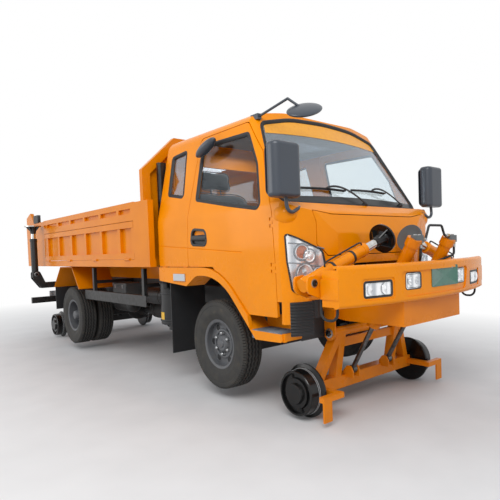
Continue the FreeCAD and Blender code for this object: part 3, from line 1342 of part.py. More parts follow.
def side_hinges(on_board):
    """Knuckles of one leaf of the right hinges, and the notches the other leaf needs.

    The board's leaf is the middle knuckle with its bore; the bed's leaf is the two outer
    knuckles with the pin through all three.
    """
    own, notches = [], []
    middle, whole = s.knuckle_l, 3 * s.knuckle_l
    for x in side_hinge_points():
        outer = hinge_barrel(x, whole, s.knuckle_r)
        gap_ring = hinge_barrel(x, middle + 2 * s.fit, s.knuckle_r + 2)
        if on_board:
            own.append(hinge_barrel(x, middle, s.knuckle_r).cut(
                hinge_barrel(x, whole, s.hinge_pin_r + s.fit)))
            notches.append(hinge_barrel(x, whole + 2, s.knuckle_r + s.gap).cut(hinge_barrel(x, middle, 40)))
        else:
            own.append(outer.cut(gap_ring).fuse(hinge_barrel(x, whole, s.hinge_pin_r)))
            notches.append(hinge_barrel(x, middle + 2, s.knuckle_r + s.gap))
    return (own, Part.makeCompound(notches + [mirrored(notch) for notch in notches]))


def gate_pins(radius):
    """Pins on the corner posts that the tailgate hangs from."""
    pins = []
    for _, side in SIDES:
        near, far = sorted((side * (s.bed_half_w - 60 - s.gate_pin_l), side * (s.bed_half_w - 60)))
        pins.append(Part.makeCylinder(radius, far - near,
                                      Vector(s.bed_rear + s.board_t / 2, near, s.bed_top - s.gate_hinge_down),
                                      Vector(0, 1, 0)))
    return pins


def ribbed_panel(length, height, ribs):
    """A panel drawn flat in X-Z: edge rails, upright stakes in front of a thin sheet behind."""
    rail = 64
    outer = -s.board_t
    pieces = [Part.makeBox(length, s.board_sheet, height, Vector(0, -s.board_sheet, 0)),
              Part.makeBox(length, s.board_t, rail, Vector(0, outer, 0)),
              Part.makeBox(length, s.board_t, rail, Vector(0, outer, height - rail))]
    for x in ribs:
        pieces.append(Part.makeBox(s.stake_w, s.board_t - 6, height, Vector(x, outer + 6, 0)))
    return fused(pieces)


def bed_sides():
    """Drop sides hinged along the bottom, and the top-hung tailgate."""
    length = s.board_front - s.board_rear
    height = s.board_top - s.bed_hinge_z
    ribs = [0] + stake_places() + [length - s.stake_w]
    board = ribbed_panel(length, height, ribs)
    board.translate(Vector(s.board_rear, -s.bed_half_w + s.board_t, s.bed_hinge_z))
    knuckles, notches = side_hinges(True)
    bores = Part.makeCompound([hinge_barrel(x, 3 * s.knuckle_l, s.hinge_pin_r + s.fit)
                               for x in side_hinge_points()])
    board = board.cut(notches).fuse(knuckles).cut(bores)
    finish_shape("drop_side_right", board)
    finish_shape("drop_side_left", mirrored(board))
    width = 2 * (s.bed_half_w - 60) - 2 * s.seam
    gate_h = s.bed_top - s.bed_hinge_z - 4
    gate = ribbed_panel(width, gate_h, [k * (width - s.stake_w) / 4 for k in range(5)])
    gate.rotate(Vector(), Vector(0, 0, 1), -90)
    gate.translate(Vector(s.bed_rear + s.board_t, width / 2, s.bed_hinge_z))
    gate = gate.cut(Part.makeCompound(gate_pins(s.gate_pin_r + s.fit)))
    finish_shape("tailgate", gate)


bed()
bed_sides()


# ---------------------------------------------------------------- rail gear
def rail_axle_z():
    return s.rail_wheel_r - s.road_z


def wheelset_shape():
    """Two flanged rail wheels on a turned axle, along Y, centred on the origin."""
    outline = [  # half section as (y, radius): flange, tread, stepped hub
        (0, s.rail_axle_r), (s.rail_flange_y - 30, s.rail_axle_r), (s.rail_flange_y - 30, 70),
        (s.rail_flange_y, 70), (s.rail_flange_y, s.rail_wheel_r - 8), (s.rail_flange_y + 10, s.rail_wheel_r),
        (s.rail_flange_y + 22, s.rail_wheel_r), (s.rail_flange_y + 34, s.rail_tread_r + 5),
        (s.rail_flange_y + 44, s.rail_tread_r), (s.rail_face_y - 8, s.rail_tread_r - 4),
        (s.rail_face_y - 2, s.rail_tread_r - 10), (s.rail_face_y - 2, 150), (s.rail_face_y - 26, 142),
        (s.rail_face_y - 26, 118), (s.rail_face_y - 8, 112), (s.rail_face_y - 8, 82),
        (s.rail_face_y + 14, 74), (s.rail_face_y + 14, 0), (0, 0),
    ]
    points = [Vector(0, y, r) for y, r in outline]
    face = Part.Face(Part.makePolygon(points + points[:1]))
    half = face.revolve(Vector(), Vector(0, 1, 0), 360)
    return half.fuse(mirrored(half)).removeSplitter()


def gear_frame_shape(guards):
    """Swinging gear frame about its hinge at the origin: tube, legs, beam, lugs, guard irons."""
    axle_x, axle_z = -s.gear_back, rail_axle_z() - s.gear_pivot_z
    beam_end = s.rail_flange_y - 34
    half = s.gear_beam_half
    pivot_out = s.gear_pivot_y - s.plate_t - 2
    pieces = [
        Part.makeCylinder(38, 2 * pivot_out, Vector(0, -pivot_out, 0), Vector(0, 1, 0)),
        Part.makeCylinder(s.gear_pin_r, 2 * (s.gear_pivot_y + 14),
                          Vector(0, -s.gear_pivot_y - 14, 0), Vector(0, 1, 0)),
        Part.makeBox(2 * half, 2 * beam_end, 2 * half, Vector(axle_x - half, -beam_end, axle_z - half)),
        Part.makeBox(30, 2 * s.gear_leg_y, 72, Vector(-32, -s.gear_leg_y, -130)),
    ]
    for _, side in SIDES:
        y = side * s.gear_leg_y
        pieces.append(bar_between((0, y, 0), (axle_x, y, axle_z), 70, 74))
        pieces.append(bar_between((0, side * (s.gear_pivot_y - 92), 0),
                                  (axle_x, side * (beam_end - 40), axle_z), 74, 60, Vector(1, 0, 0)))
        for offset in (-46, 34):
            cheek = [(-46, -s.lug_drop - 60, 0), (52, -s.lug_drop - 60, 0), (52, -s.lug_drop - 10, 12),
                     (30, -s.lug_drop + 34, 24), (-10, -s.lug_drop + 34, 24), (-46, -s.lug_drop - 10, 12)]
            low = side * s.gear_cyl_y + offset
            pieces.append(prism("xz", cheek, low, low + 12))
        if guards:
            y_arm = side * (beam_end - 30)
            low, high = sorted((side * (beam_end - 60), side * 800))
            pieces.append(Part.makeBox(262, 50, 40, Vector(axle_x + 10, y_arm - 25, axle_z - 20)))
            pieces.append(Part.makeBox(46, high - low, 40, Vector(axle_x + 236, low, axle_z - 20)))
            low, high = sorted((side * 716, side * 800))
            pieces.append(Part.makeBox(14, high - low, 150, Vector(axle_x + 268, low, axle_z - 162)))
    frame = fused(pieces)
    bore = Part.makeCylinder(s.rail_axle_r + s.fit, 1500, Vector(axle_x, -750, axle_z), Vector(0, 1, 0))
    return frame.cut(bore)


def cylinder_pair(trunnion, eye, back, reach, ports):
    """Two parallel cylinders: barrels behind and ahead of their trunnion, rods out to their eyes."""
    start, end = Vector(trunnion[0], 0, trunnion[1]), Vector(eye[0], 0, eye[1])
    direction = (end - start).normalize()
    barrels, rods = [], []
    for _, side in SIDES:
        y = Vector(0, side * s.gear_cyl_y, 0)
        foot, head = start + direction * reach + y, start - direction * back + y
        barrel = Part.makeCylinder(s.cyl_r, (foot - head).Length, head, direction)
        cap = Part.makeCylinder(s.cyl_r + 8, 60, head - direction * 10, direction)
        gland = Part.makeCylinder(s.cyl_r + 6, 40, foot - direction * 40, direction)
        pin = Part.makeCylinder(s.trunnion_r, 140, start + y - Vector(0, 70, 0), Vector(0, 1, 0))
        ring = Part.makeCylinder(s.cyl_r + 4, 60, start + y - Vector(0, 30, 0), Vector(0, 1, 0))
        eye_at = end + y
        bore = reach + back - 40
        hole = Part.makeCylinder(s.cyl_rod_r + s.fit, bore + 10, foot - direction * bore, direction)
        pieces = [barrel, cap, gland, ring, pin]
        if ports:
            pieces.append(Part.makeBox(44, 100, 50, head + Vector(-16, -20, -20)))
        barrels.append(fused(pieces).cut(hole))
        rod_start = foot - direction * 90
        shank = Part.makeCylinder(s.cyl_rod_r, (eye_at - rod_start).Length - 20, rod_start, direction)
        eye_ring = Part.makeCylinder(34, 44, eye_at - Vector(0, 22, 0), Vector(0, 1, 0))
        eye_pin = Part.makeCylinder(14, 60, eye_at - Vector(0, 30, 0), Vector(0, 1, 0))
        rods.append(fused([shank, eye_ring, eye_pin]))
    return barrels, rods


def rail_gear():
    """Front and rear gear: frame, wheelset, and the cylinders that hold it down."""
    ends = (
        ("front", s.gear_pivot_x, (s.front_trunnion_x, s.front_trunnion_z), 260, 490),
        ("rear", s.rear_gear_pivot_x, (s.rear_trunnion_x, s.rear_trunnion_z), 200, 320),
    )
    for end, pivot_x, trunnion, back, reach in ends:
        frame = gear_frame_shape(end == "front")
        frame.translate(Vector(pivot_x, 0, s.gear_pivot_z))
        finish_shape(f"{end}_gear_frame", frame)
        axle = wheelset_shape()
        axle.translate(Vector(pivot_x - s.gear_back, 0, rail_axle_z()))
        finish_shape(f"{end}_wheelset", axle)
        eye = (pivot_x + s.lug_ahead, s.gear_pivot_z - s.lug_drop)
        barrels, rods = cylinder_pair(trunnion, eye, back, reach, end == "front")
        finish_shape(f"{end}_gear_barrels", barrels)
        finish_shape(f"{end}_gear_rods", rods)


# ---------------------------------------------------------------- jack legs and hoist
def jack(node, pivot, direction, reach, barrel_len):
    """One jack leg: barrel with its pivot pin, and the rod with its foot plate."""
    pivot, direction = Vector(*pivot), Vector(*direction).normalize()
    tube = Part.makeCylinder(s.jack_barrel_r, barrel_len + 50, pivot - direction * 50, direction)
    pin = Part.makeCylinder(s.jack_pin_r, 2 * (s.jack_barrel_r + 26),
                            pivot - Vector(s.jack_barrel_r + 26, 0, 0), Vector(1, 0, 0))
    depth = 330
    hole = Part.makeCylinder(s.jack_rod_r + s.fit, depth, pivot + direction * (barrel_len - depth + 1), direction)
    finish_shape(f"{node}_barrel", fused([tube, pin]).cut(hole))
    rod_start = barrel_len - depth + 20
    shank = Part.makeCylinder(s.jack_rod_r, reach - 14 - rod_start, pivot + direction * rod_start, direction)
    foot = Part.makeCylinder(s.jack_foot_r, 14, pivot + direction * (reach - 14), direction)
    finish_shape(f"{node}_rod", fused([shank, foot]))


def jacks():
    lean = math.radians(s.jack_lean)
    for side_name, side in SIDES:
        jack(f"front_{side_name}_jack", (s.jack_x, side * s.jack_y, s.jack_z),
             (0, -side * math.cos(lean), math.sin(lean)), s.front_jack_reach, s.front_jack_barrel)
        jack(f"rear_{side_name}_jack", (s.rear_jack_x, side * rear_jack_y(), s.rear_jack_z),
             (0, 0, 1), s.rear_jack_reach, s.rear_jack_barrel)


def hoist():
    """Tipping cylinder between the frame and the bed's floor."""
    start = Vector(s.hoist_x, 0, s.hoist_z)
    end = Vector(s.hoist_eye_x, 0, s.hoist_eye_z)
    direction = (end - start).normalize()
    barrel = Part.makeCylinder(s.hoist_r, s.hoist_barrel - 60, start + direction * 60, direction)
    lug = Part.makeCylinder(46, 76, start - Vector(0, 38, 0), Vector(0, 1, 0))
    neck = Part.makeCylinder(40, 90, start + direction * 10, direction)
    body = fused([barrel, lug, neck])
    body = body.cut(Part.makeCylinder(24 + s.fit, 200, start - Vector(0, 100, 0), Vector(0, 1, 0)))
    hole = Part.makeCylinder(s.hoist_rod_r + s.fit, s.hoist_barrel, start + direction * 120, direction)
    finish_shape("hoist_barrel", body.cut(hole))
    rod_start = start + direction * 140
    shank = Part.makeCylinder(s.hoist_rod_r, (end - rod_start).Length, rod_start, direction)
    eye = Part.makeCylinder(40, 44, end - Vector(0, 22, 0), Vector(0, 1, 0))
    finish_shape("hoist_rod", fused([shank, eye]))


rail_gear()
jacks()
hoist()


# ---------------------------------------------------------------- check and write
def check_and_write():
    """Refuse a document with a failed object, then write one STEP file for each sub-part."""
    doc.recompute()
    for obj in doc.Objects:
        if {"Invalid", "Error"} & set(obj.State):
            raise RuntimeError(f"{obj.Name} failed: {obj.State}")
    for node, obj in PARTS.items():
        if obj.Shape.isNull() or not obj.Shape.isValid() or not obj.Shape.Solids:
            raise RuntimeError(f"{node} has no valid solid")
    os.makedirs("parts", exist_ok=True)
    for node, obj in PARTS.items():
        obj.Shape.exportStep(f"parts/{node}.step")


check_and_write()
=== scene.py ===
"""Road-rail dump truck: finishes, fittings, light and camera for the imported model. Metres; points
are worked out in millimetres from the front axle's line and the road tyres' feet."""

import bmesh
import bpy
import numpy as np
from mathutils import Matrix, Vector


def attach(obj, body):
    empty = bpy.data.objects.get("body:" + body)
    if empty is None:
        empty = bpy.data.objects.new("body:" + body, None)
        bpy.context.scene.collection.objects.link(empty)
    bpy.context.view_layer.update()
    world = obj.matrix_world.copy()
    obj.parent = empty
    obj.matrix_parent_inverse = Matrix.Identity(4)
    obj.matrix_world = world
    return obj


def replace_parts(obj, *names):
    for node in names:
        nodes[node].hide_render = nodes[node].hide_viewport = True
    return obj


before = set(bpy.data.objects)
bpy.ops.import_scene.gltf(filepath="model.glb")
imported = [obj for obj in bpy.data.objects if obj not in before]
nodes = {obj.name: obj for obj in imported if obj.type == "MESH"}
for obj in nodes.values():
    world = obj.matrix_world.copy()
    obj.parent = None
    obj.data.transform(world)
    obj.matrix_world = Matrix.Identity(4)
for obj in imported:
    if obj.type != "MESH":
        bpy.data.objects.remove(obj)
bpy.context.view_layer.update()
bpy.context.scene.view_settings.view_transform = "Standard"

MM = 0.001
ORIGIN = np.array((1.853, 0.0, 0.088))
SIDES = (("right", -1), ("left", 1))


# ---------------------------------------------------------------- camera and light
def set_camera():
    """A camera at standing eye height off the truck's front right corner."""
    place = (5.274, -3.235, 1.273)
    right = Vector((0.6716, 0.7402, -0.0337)).normalized()
    up = Vector((-0.0059, 0.0508, 0.9988)).normalized()
    back = right.cross(up).normalized()
    up = back.cross(right)
    data = bpy.data.cameras.new("camera")
    data.lens = 34.456
    data.sensor_width = 36
    data.shift_x = -0.058
    data.shift_y = 0.037
    camera = bpy.data.objects.new("camera", data)
    turn = Matrix((right, up, back)).transposed().to_4x4()
    camera.matrix_world = Matrix.Translation(place) @ turn
    bpy.context.scene.collection.objects.link(camera)
    bpy.context.scene.camera = camera


def area_lamp(name, place, aim, width, height, watts):
    """A rectangular lamp at a place, turned to face the aim point."""
    data = bpy.data.lights.new(name, "AREA")
    data.shape = "RECTANGLE"
    data.size, data.size_y, data.energy = width, height, watts
    lamp = bpy.data.objects.new(name, data)
    way = Vector(aim) - Vector(place)
    turn = way.to_track_quat("-Z", "Y").to_matrix().to_4x4()
    lamp.matrix_world = Matrix.Translation(place) @ turn
    bpy.context.scene.collection.objects.link(lamp)


# ---------------------------------------------------------------- materials
WAVE = 1 / 3.18  # metres from crest to crest of a wave texture whose scale is one


def linear(text):
    """sRGB hex to linear red, green, blue, alpha."""
    values = [int(text[i:i + 2], 16) / 255 for i in (1, 3, 5)]
    return tuple(v / 12.92 if v <= 0.04045 else ((v + 0.055) / 1.055) ** 2.4 for v in values) + (1.0,)


def add(tree, kind, **settings):
    """Adds a node. A lower-case key is a property, any other is an input socket (i3 is the third
    after the first); a value that is a socket is linked, anything else is set."""
    node = tree.nodes.new("ShaderNode" + kind)
    for key, value in settings.items():
        if key in node.bl_rna.properties:
            setattr(node, key, value)
            continue
        name = int(key[1:]) if key[0] == "i" and key[1:].isdigit() else key.replace("_", " ")
        if isinstance(value, bpy.types.NodeSocket):
            tree.links.new(value, node.inputs[name])
        else:
            node.inputs[name].default_value = value
    return node


def new_finish(name):
    """An empty node material and its tree, with the object's own coordinates in it."""
    material = bpy.data.materials.new(name)
    material.use_nodes = True
    tree = material.node_tree
    tree.nodes.clear()
    place = add(tree, "TexCoord").outputs["Object"]
    return material, tree, place


def finished(material, tree, shader):
    """Joins a shader to the material's output."""
    out = add(tree, "OutputMaterial")
    tree.links.new(shader.outputs[0], out.inputs["Surface"])
    return material


def ramp(tree, factor, *stops):
    """A colour ramp fed by a factor, with (position, sRGB hex) stops."""
    node = add(tree, "ValToRGB", Fac=factor)
    elements = node.color_ramp.elements
    while len(elements) < len(stops):
        elements.new(0.5)
    for element, (position, text) in zip(elements, stops):
        element.position = position
        element.color = linear(text)
    return node.outputs["Color"]


def road_dust(tree, place, low, high, patch_mm):
    """How much road dust lies: none above high, full below low (metres up), broken by patches."""
    height = add(tree, "SeparateXYZ", Vector=place).outputs["Z"]
    fall = add(tree, "MapRange", Value=height, From_Min=low, From_Max=high, To_Min=1.0, To_Max=0.0)
    patches = add(tree, "TexNoise", Vector=place, Scale=1 / (patch_mm * MM), Detail=6.0, Roughness=0.65)
    lift = add(tree, "MapRange", Value=patches.outputs["Fac"], From_Min=0.35, From_Max=0.7)
    both = add(tree, "Math", operation="MULTIPLY", i0=fall.outputs[0], i1=lift.outputs[0])
    return both.outputs[0]


def sprayed_enamel(name, clean, shade, dust_low=0.15, dust_high=1.3):
    """Sprayed polyurethane enamel on steel sheet: glossy, a faint orange peel about 3 mm across,
    slightly uneven in colour over a hand's breadth, dusty low down."""
    material, tree, place = new_finish(name)
    cloud = add(tree, "TexNoise", Vector=place, Scale=1 / (350 * MM), Detail=3.0)
    body = ramp(tree, cloud.outputs["Fac"], (0.3, shade), (0.72, clean))
    dust = road_dust(tree, place, dust_low, dust_high, 60)
    thin = add(tree, "Math", operation="MULTIPLY", i0=dust, i1=0.28)
    colour = add(tree, "MixRGB", Fac=thin.outputs[0], Color1=body, Color2=linear("#9A7448"))
    gloss = add(tree, "MapRange", Value=dust, To_Min=0.26, To_Max=0.62)
    peel = add(tree, "TexNoise", Vector=place, Scale=1 / (3 * MM), Detail=1.0)
    bump = add(tree, "Bump", Height=peel.outputs["Fac"], Strength=0.06, Distance=0.2 * MM)
    shader = add(tree, "BsdfPrincipled", Base_Color=colour.outputs[0], Roughness=gloss.outputs[0],
                 Normal=bump.outputs[0], Specular_IOR_Level=0.14, Coat_Weight=0.1, Coat_Roughness=0.06)
    return finished(material, tree, shader)


def chassis_lacquer(name, clean="#17181A", dusty="#4E463C", amount=0.32):
    """Air-dried black lacquer on pressed steel: half gloss, brushed with dry road dust."""
    material, tree, place = new_finish(name)
    dust = road_dust(tree, place, 0.1, 1.5, 45)
    part = add(tree, "Math", operation="MULTIPLY", i0=dust, i1=amount)
    colour = add(tree, "MixRGB", Fac=part.outputs[0], Color1=linear(clean), Color2=linear(dusty))
    grain = add(tree, "TexNoise", Vector=place, Scale=1 / (4 * MM), Detail=3.0)
    bump = add(tree, "Bump", Height=grain.outputs["Fac"], Strength=0.12, Distance=0.4 * MM)
    gloss = add(tree, "MapRange", Value=dust, To_Min=0.38, To_Max=0.8)
    shader = add(tree, "BsdfPrincipled", Base_Color=colour.outputs[0], Roughness=gloss.outputs[0],
                 Normal=bump.outputs[0])
    return finished(material, tree, shader)


def tyre_rubber(name):
    """Carbon-black tread rubber: nearly matt, brown dust in patches, pores about 5 mm apart, and
    painted near black where the piece's attribute for its grooves says that its tread is cut, which
    is painted shade in the grooves."""
    material, tree, place = new_finish(name)
    patch = add(tree, "TexNoise", Vector=place, Scale=1 / (70 * MM), Detail=5.0)
    worn = ramp(tree, patch.outputs["Fac"], (0.35, "#2C2B2A"), (0.62, "#35332F"), (0.8, "#463F37"))
    groove_shade = add(tree, "Attribute", attribute_name="groove_shade")
    # Cuts in the tread are painted near black: painted shade in the grooves.
    colour = add(tree, "MixRGB", Fac=groove_shade.outputs["Fac"], Color1=worn, Color2=linear("#0B0B0B"))
    pores = add(tree, "TexNoise", Vector=place, Scale=1 / (5 * MM), Detail=2.0)
    bump = add(tree, "Bump", Height=pores.outputs["Fac"], Strength=0.25, Distance=0.6 * MM)
    shader = add(tree, "BsdfPrincipled", Base_Color=colour.outputs[0], Roughness=0.78,
                 Normal=bump.outputs[0])
    return finished(material, tree, shader)


def moulded_polymer(name, clean="#1D1E20", grain_mm=1.6, roughness=0.5):
    """Injection-moulded polypropylene with a fine spark-eroded grain, faded a little in patches."""
    material, tree, place = new_finish(name)
    fade = add(tree, "TexNoise", Vector=place, Scale=1 / (180 * MM), Detail=2.0)
    dark = ramp(tree, fade.outputs["Fac"], (0.3, clean), (0.9, "#3A3A3B"))
    mixed = add(tree, "MixRGB", Fac=0.75, Color1=dark, Color2=linear(clean))
    grain = add(tree, "TexVoronoi", Vector=place, Scale=1 / (grain_mm * MM))
    bump = add(tree, "Bump", Height=grain.outputs["Distance"], Strength=0.18, Distance=0.2 * MM)
    shader = add(tree, "BsdfPrincipled", Base_Color=mixed.outputs[0], Roughness=roughness,
                 Normal=bump.outputs[0])
    return finished(material, tree, shader)


def turned_metal(name, clean, stain, rough):
    """Machined metal: lathe rings, drawn 12.6 mm apart so that they show, and a thin brown stain in
    patches."""
    material, tree, place = new_finish(name)
    patch = add(tree, "TexNoise", Vector=place, Scale=1 / (55 * MM), Detail=6.0)
    colour = ramp(tree, patch.outputs["Fac"], (0.38, clean), (0.62, stain))
    rings = add(tree, "TexWave", Vector=place, bands_direction="Y", Scale=WAVE / (12.58 * MM),
                Distortion=1.0)
    bump = add(tree, "Bump", Height=rings.outputs["Fac"], Strength=0.12, Distance=0.1 * MM)
    shader = add(tree, "BsdfPrincipled", Base_Color=colour, Metallic=0.9, Roughness=rough,
                 Normal=bump.outputs[0])
    return finished(material, tree, shader)


def hard_chrome(name, clean="#D9DADB", oiled="#B3ADA2", sleek=0.06, dull=0.24):
    """Hard-chromed piston rod: mirror bright, hairline polish and a film of oil in patches."""
    material, tree, place = new_finish(name)
    film = add(tree, "TexNoise", Vector=place, Scale=1 / (40 * MM), Detail=4.0)
    colour = ramp(tree, film.outputs["Fac"], (0.3, clean), (0.75, oiled))
    gloss = add(tree, "MapRange", Value=film.outputs["Fac"], To_Min=sleek, To_Max=dull)
    shader = add(tree, "BsdfPrincipled", Base_Color=colour, Metallic=1.0, Roughness=gloss.outputs[0])
    return finished(material, tree, shader)


def gloss_enamel(name, clean, shade):
    """Stoved gloss enamel on a casting: deep and even, a soft casting swell about 30 mm across."""
    material, tree, place = new_finish(name)
    cloud = add(tree, "TexNoise", Vector=place, Scale=1 / (120 * MM), Detail=3.0)
    colour = ramp(tree, cloud.outputs["Fac"], (0.35, clean), (0.75, shade))
    swell = add(tree, "TexNoise", Vector=place, Scale=1 / (30 * MM), Detail=1.0)
    bump = add(tree, "Bump", Height=swell.outputs["Fac"], Strength=0.05, Distance=1 * MM)
    shader = add(tree, "BsdfPrincipled", Base_Color=colour, Roughness=0.24, Normal=bump.outputs[0],
                 Specular_IOR_Level=0.3, Coat_Weight=0.12, Coat_Roughness=0.05)
    return finished(material, tree, shader)


def zinc_plate(name):
    """Bright zinc plate on fasteners and ferrules: grey-white with a soft spangle 6 mm across."""
    material, tree, place = new_finish(name)
    spangle = add(tree, "TexVoronoi", Vector=place, Scale=1 / (6 * MM))
    colour = ramp(tree, spangle.outputs["Distance"], (0.1, "#B9BABB"), (0.9, "#8E9091"))
    shader = add(tree, "BsdfPrincipled", Base_Color=colour, Metallic=0.85, Roughness=0.36)
    return finished(material, tree, shader)


def cab_window(name, clear="#F8FBFB", sheen=0.0):
    """Clear glass or polycarbonate sheet: a share of the light is always mirrored, raised by a
    sheen and rising to all of it at a slant, and a film of dust spreads it a little."""
    material, tree, place = new_finish(name)
    film = add(tree, "TexNoise", Vector=place, Scale=1 / (90 * MM), Detail=4.0)
    gloss = add(tree, "MapRange", Value=film.outputs["Fac"], To_Min=0.01, To_Max=0.08)
    tint = add(tree, "BsdfTransparent", Color=linear(clear))
    shine = add(tree, "BsdfGlossy", Color=linear("#DDE8F2"), Roughness=gloss.outputs[0])
    slant = add(tree, "LayerWeight", Blend=0.5)
    graze = add(tree, "Math", operation="POWER", i0=slant.outputs["Facing"], i1=5.0)
    share = add(tree, "MapRange", Value=graze.outputs[0], To_Min=0.02 + sheen, To_Max=1.0)
    both = add(tree, "MixShader", Fac=share.outputs[0], i1=tint.outputs[0], i2=shine.outputs[0])
    return finished(material, tree, both)


def fluted_reflector(name, flute_mm):
    """Vacuum-metallised lamp reflector: bright, with upright flutes, drawn broad so that they show,
    that break up what it mirrors; its colour is lighter and darker across each flute, which is
    painted highlight and shade."""
    material, tree, place = new_finish(name)
    flutes = add(tree, "TexWave", Vector=place, bands_direction="Y", Scale=WAVE / (flute_mm * MM),
                 Distortion=0.6)
    bump = add(tree, "Bump", Height=flutes.outputs["Fac"], Strength=0.7, Distance=4 * MM)
    # Lighter and darker across each flute: painted highlight and shade on the flutes.
    shade = ramp(tree, flutes.outputs["Fac"], (0.1, "#B9BDC2"), (0.8, "#F8F9FA"))
    shader = add(tree, "BsdfPrincipled", Base_Color=shade, Metallic=0.5, Roughness=0.14,
                 Normal=bump.outputs[0], Coat_Weight=0.8, Coat_Roughness=0.04)
    return finished(material, tree, shader)


def lamp_lens(name, tint, ribs_mm):
    """Dyed, moulded polycarbonate lens with optic ribs on its inner face, paler grey along the
    ribs as painted highlights.
    """
    material, tree, place = new_finish(name)
    ribs = add(tree, "TexWave", Vector=place, bands_direction="Z", Scale=WAVE / (ribs_mm * MM))
    bump = add(tree, "Bump", Height=ribs.outputs["Fac"], Strength=0.35, Distance=0.8 * MM)
    # Pale grey along the ribs: painted highlights on the optic ribs.
    shade = ramp(tree, ribs.outputs["Fac"], (0.0, tint), (1.0, "#C9CCCE"))
    tone = add(tree, "MixRGB", Fac=0.35, Color1=linear(tint), Color2=shade)
    shader = add(tree, "BsdfPrincipled", Base_Color=tone.outputs[0], Roughness=0.08,
                 Normal=bump.outputs[0], Transmission_Weight=0.55, IOR=1.58, Coat_Weight=0.6)
    return finished(material, tree, shader)


def woven_seat(name, thread, gap):
    """Flat-woven polyester seat cloth, threads drawn 5 mm apart so that they show."""
    material, tree, place = new_finish(name)
    warp = add(tree, "TexWave", Vector=place, bands_direction="Y", Scale=WAVE / (5 * MM))
    weft = add(tree, "TexWave", Vector=place, bands_direction="X", Scale=WAVE / (5 * MM))
    weave = add(tree, "Math", operation="MULTIPLY", i0=warp.outputs["Fac"], i1=weft.outputs["Fac"])
    colour = ramp(tree, weave.outputs[0], (0.1, gap), (0.7, thread))
    bump = add(tree, "Bump", Height=weave.outputs[0], Strength=0.4, Distance=1 * MM)
    shader = add(tree, "BsdfPrincipled", Base_Color=colour, Roughness=0.9, Sheen_Weight=0.25,
                 Normal=bump.outputs[0])
    return finished(material, tree, shader)


def mirror_glass(name):
    """Silvered float glass: a full mirror with a trace of blue and a film of dust."""
    material, tree, place = new_finish(name)
    film = add(tree, "TexNoise", Vector=place, Scale=1 / (60 * MM), Detail=4.0)
    gloss = add(tree, "MapRange", Value=film.outputs["Fac"], To_Min=0.02, To_Max=0.12)
    shader = add(tree, "BsdfPrincipled", Base_Color=linear("#C4CBD2"), Metallic=1.0,
                 Roughness=gloss.outputs[0])
    return finished(material, tree, shader)


def rolled_alloy(name, clean, dusty):
    """Rolled aluminium sheet: grey-blue, brushed across the roll with lines drawn 19 mm apart so
    that they show."""
    material, tree, place = new_finish(name)
    lines = add(tree, "TexWave", Vector=place, bands_direction="X", Scale=WAVE / (18.87 * MM),
                Distortion=3.0)
    patch = add(tree, "TexNoise", Vector=place, Scale=1 / (50 * MM), Detail=4.0)
    colour = ramp(tree, patch.outputs["Fac"], (0.3, dusty), (0.6, clean))
    gloss = add(tree, "MapRange", Value=lines.outputs["Fac"], To_Min=0.36, To_Max=0.52)
    shader = add(tree, "BsdfPrincipled", Base_Color=colour, Metallic=0.5, Roughness=gloss.outputs[0])
    return finished(material, tree, shader)


def printed_plate(name, face, edge):
    """Screen-printed sheet: an even printed colour, a little paler where the print has worn."""
    material, tree, place = new_finish(name)
    wear = add(tree, "TexNoise", Vector=place, Scale=1 / (25 * MM), Detail=5.0)
    colour = ramp(tree, wear.outputs["Fac"], (0.45, face), (0.8, edge))
    shader = add(tree, "BsdfPrincipled", Base_Color=colour, Roughness=0.4, Coat_Weight=0.2)
    return finished(material, tree, shader)


ORANGE = sprayed_enamel("orange_sprayed_enamel", "#F28F00", "#E88700")
# The bed's orange is a darker copy of the cab's orange enamel: the darkening is painted shade on the bed.
ORANGE_BED = sprayed_enamel("orange_enamel_darkened_as_shade", "#E58500", "#DA7C00", 0.0, 0.9)
# The rail gear's orange is a darker copy of the same enamel: the darkening is painted shade, for parts low
# under the cab and bed.
ORANGE_GEAR = sprayed_enamel("orange_enamel_darkened_as_under_shade", "#E78400", "#D87702", 0.0, 0.8)
BLACK_STEEL = chassis_lacquer("black_chassis_lacquer")
BLACK_GLOSS = gloss_enamel("black_gloss_enamel", "#0D0E0F", "#1B1A19")
PALE_STEEL = chassis_lacquer("pale_grey_primer_on_steel", "#9A9DA0", "#8C877D", 0.5)
GREY_STEEL = chassis_lacquer("grey_primer_on_steel", "#515658", "#6B655A", 0.5)
RUBBER = tyre_rubber("carbon_black_tread_rubber")
EPDM = moulded_polymer("extruded_epdm_rubber", "#17181A", 2.5, 0.6)
PLASTIC = moulded_polymer("black_moulded_polypropylene")
GREY_PLASTIC = moulded_polymer("grey_moulded_polypropylene", "#8A8E92", 1.6, 0.4)
MIRROR_SHELL = moulded_polymer("graphite_moulded_polypropylene", "#3D434C", 1.6, 0.3)
INTAKE = moulded_polymer("charcoal_moulded_polyethylene", "#141516", 2.0, 0.36)
HEADLINER = moulded_polymer("grey_moulded_headliner", "#7E8284", 3.0, 0.8)
DARK_STEEL = turned_metal("oiled_axle_steel", "#2A2A2B", "#1A1817", 0.45)
BRASS = turned_metal("turned_brass_fitting", "#B9975A", "#8A6B3A", 0.3)
RIM_PAINT = chassis_lacquer("grey_rim_lacquer", "#54565A", "#5F5A52", 0.4)
CHROME = hard_chrome("hard_chrome_on_steel")
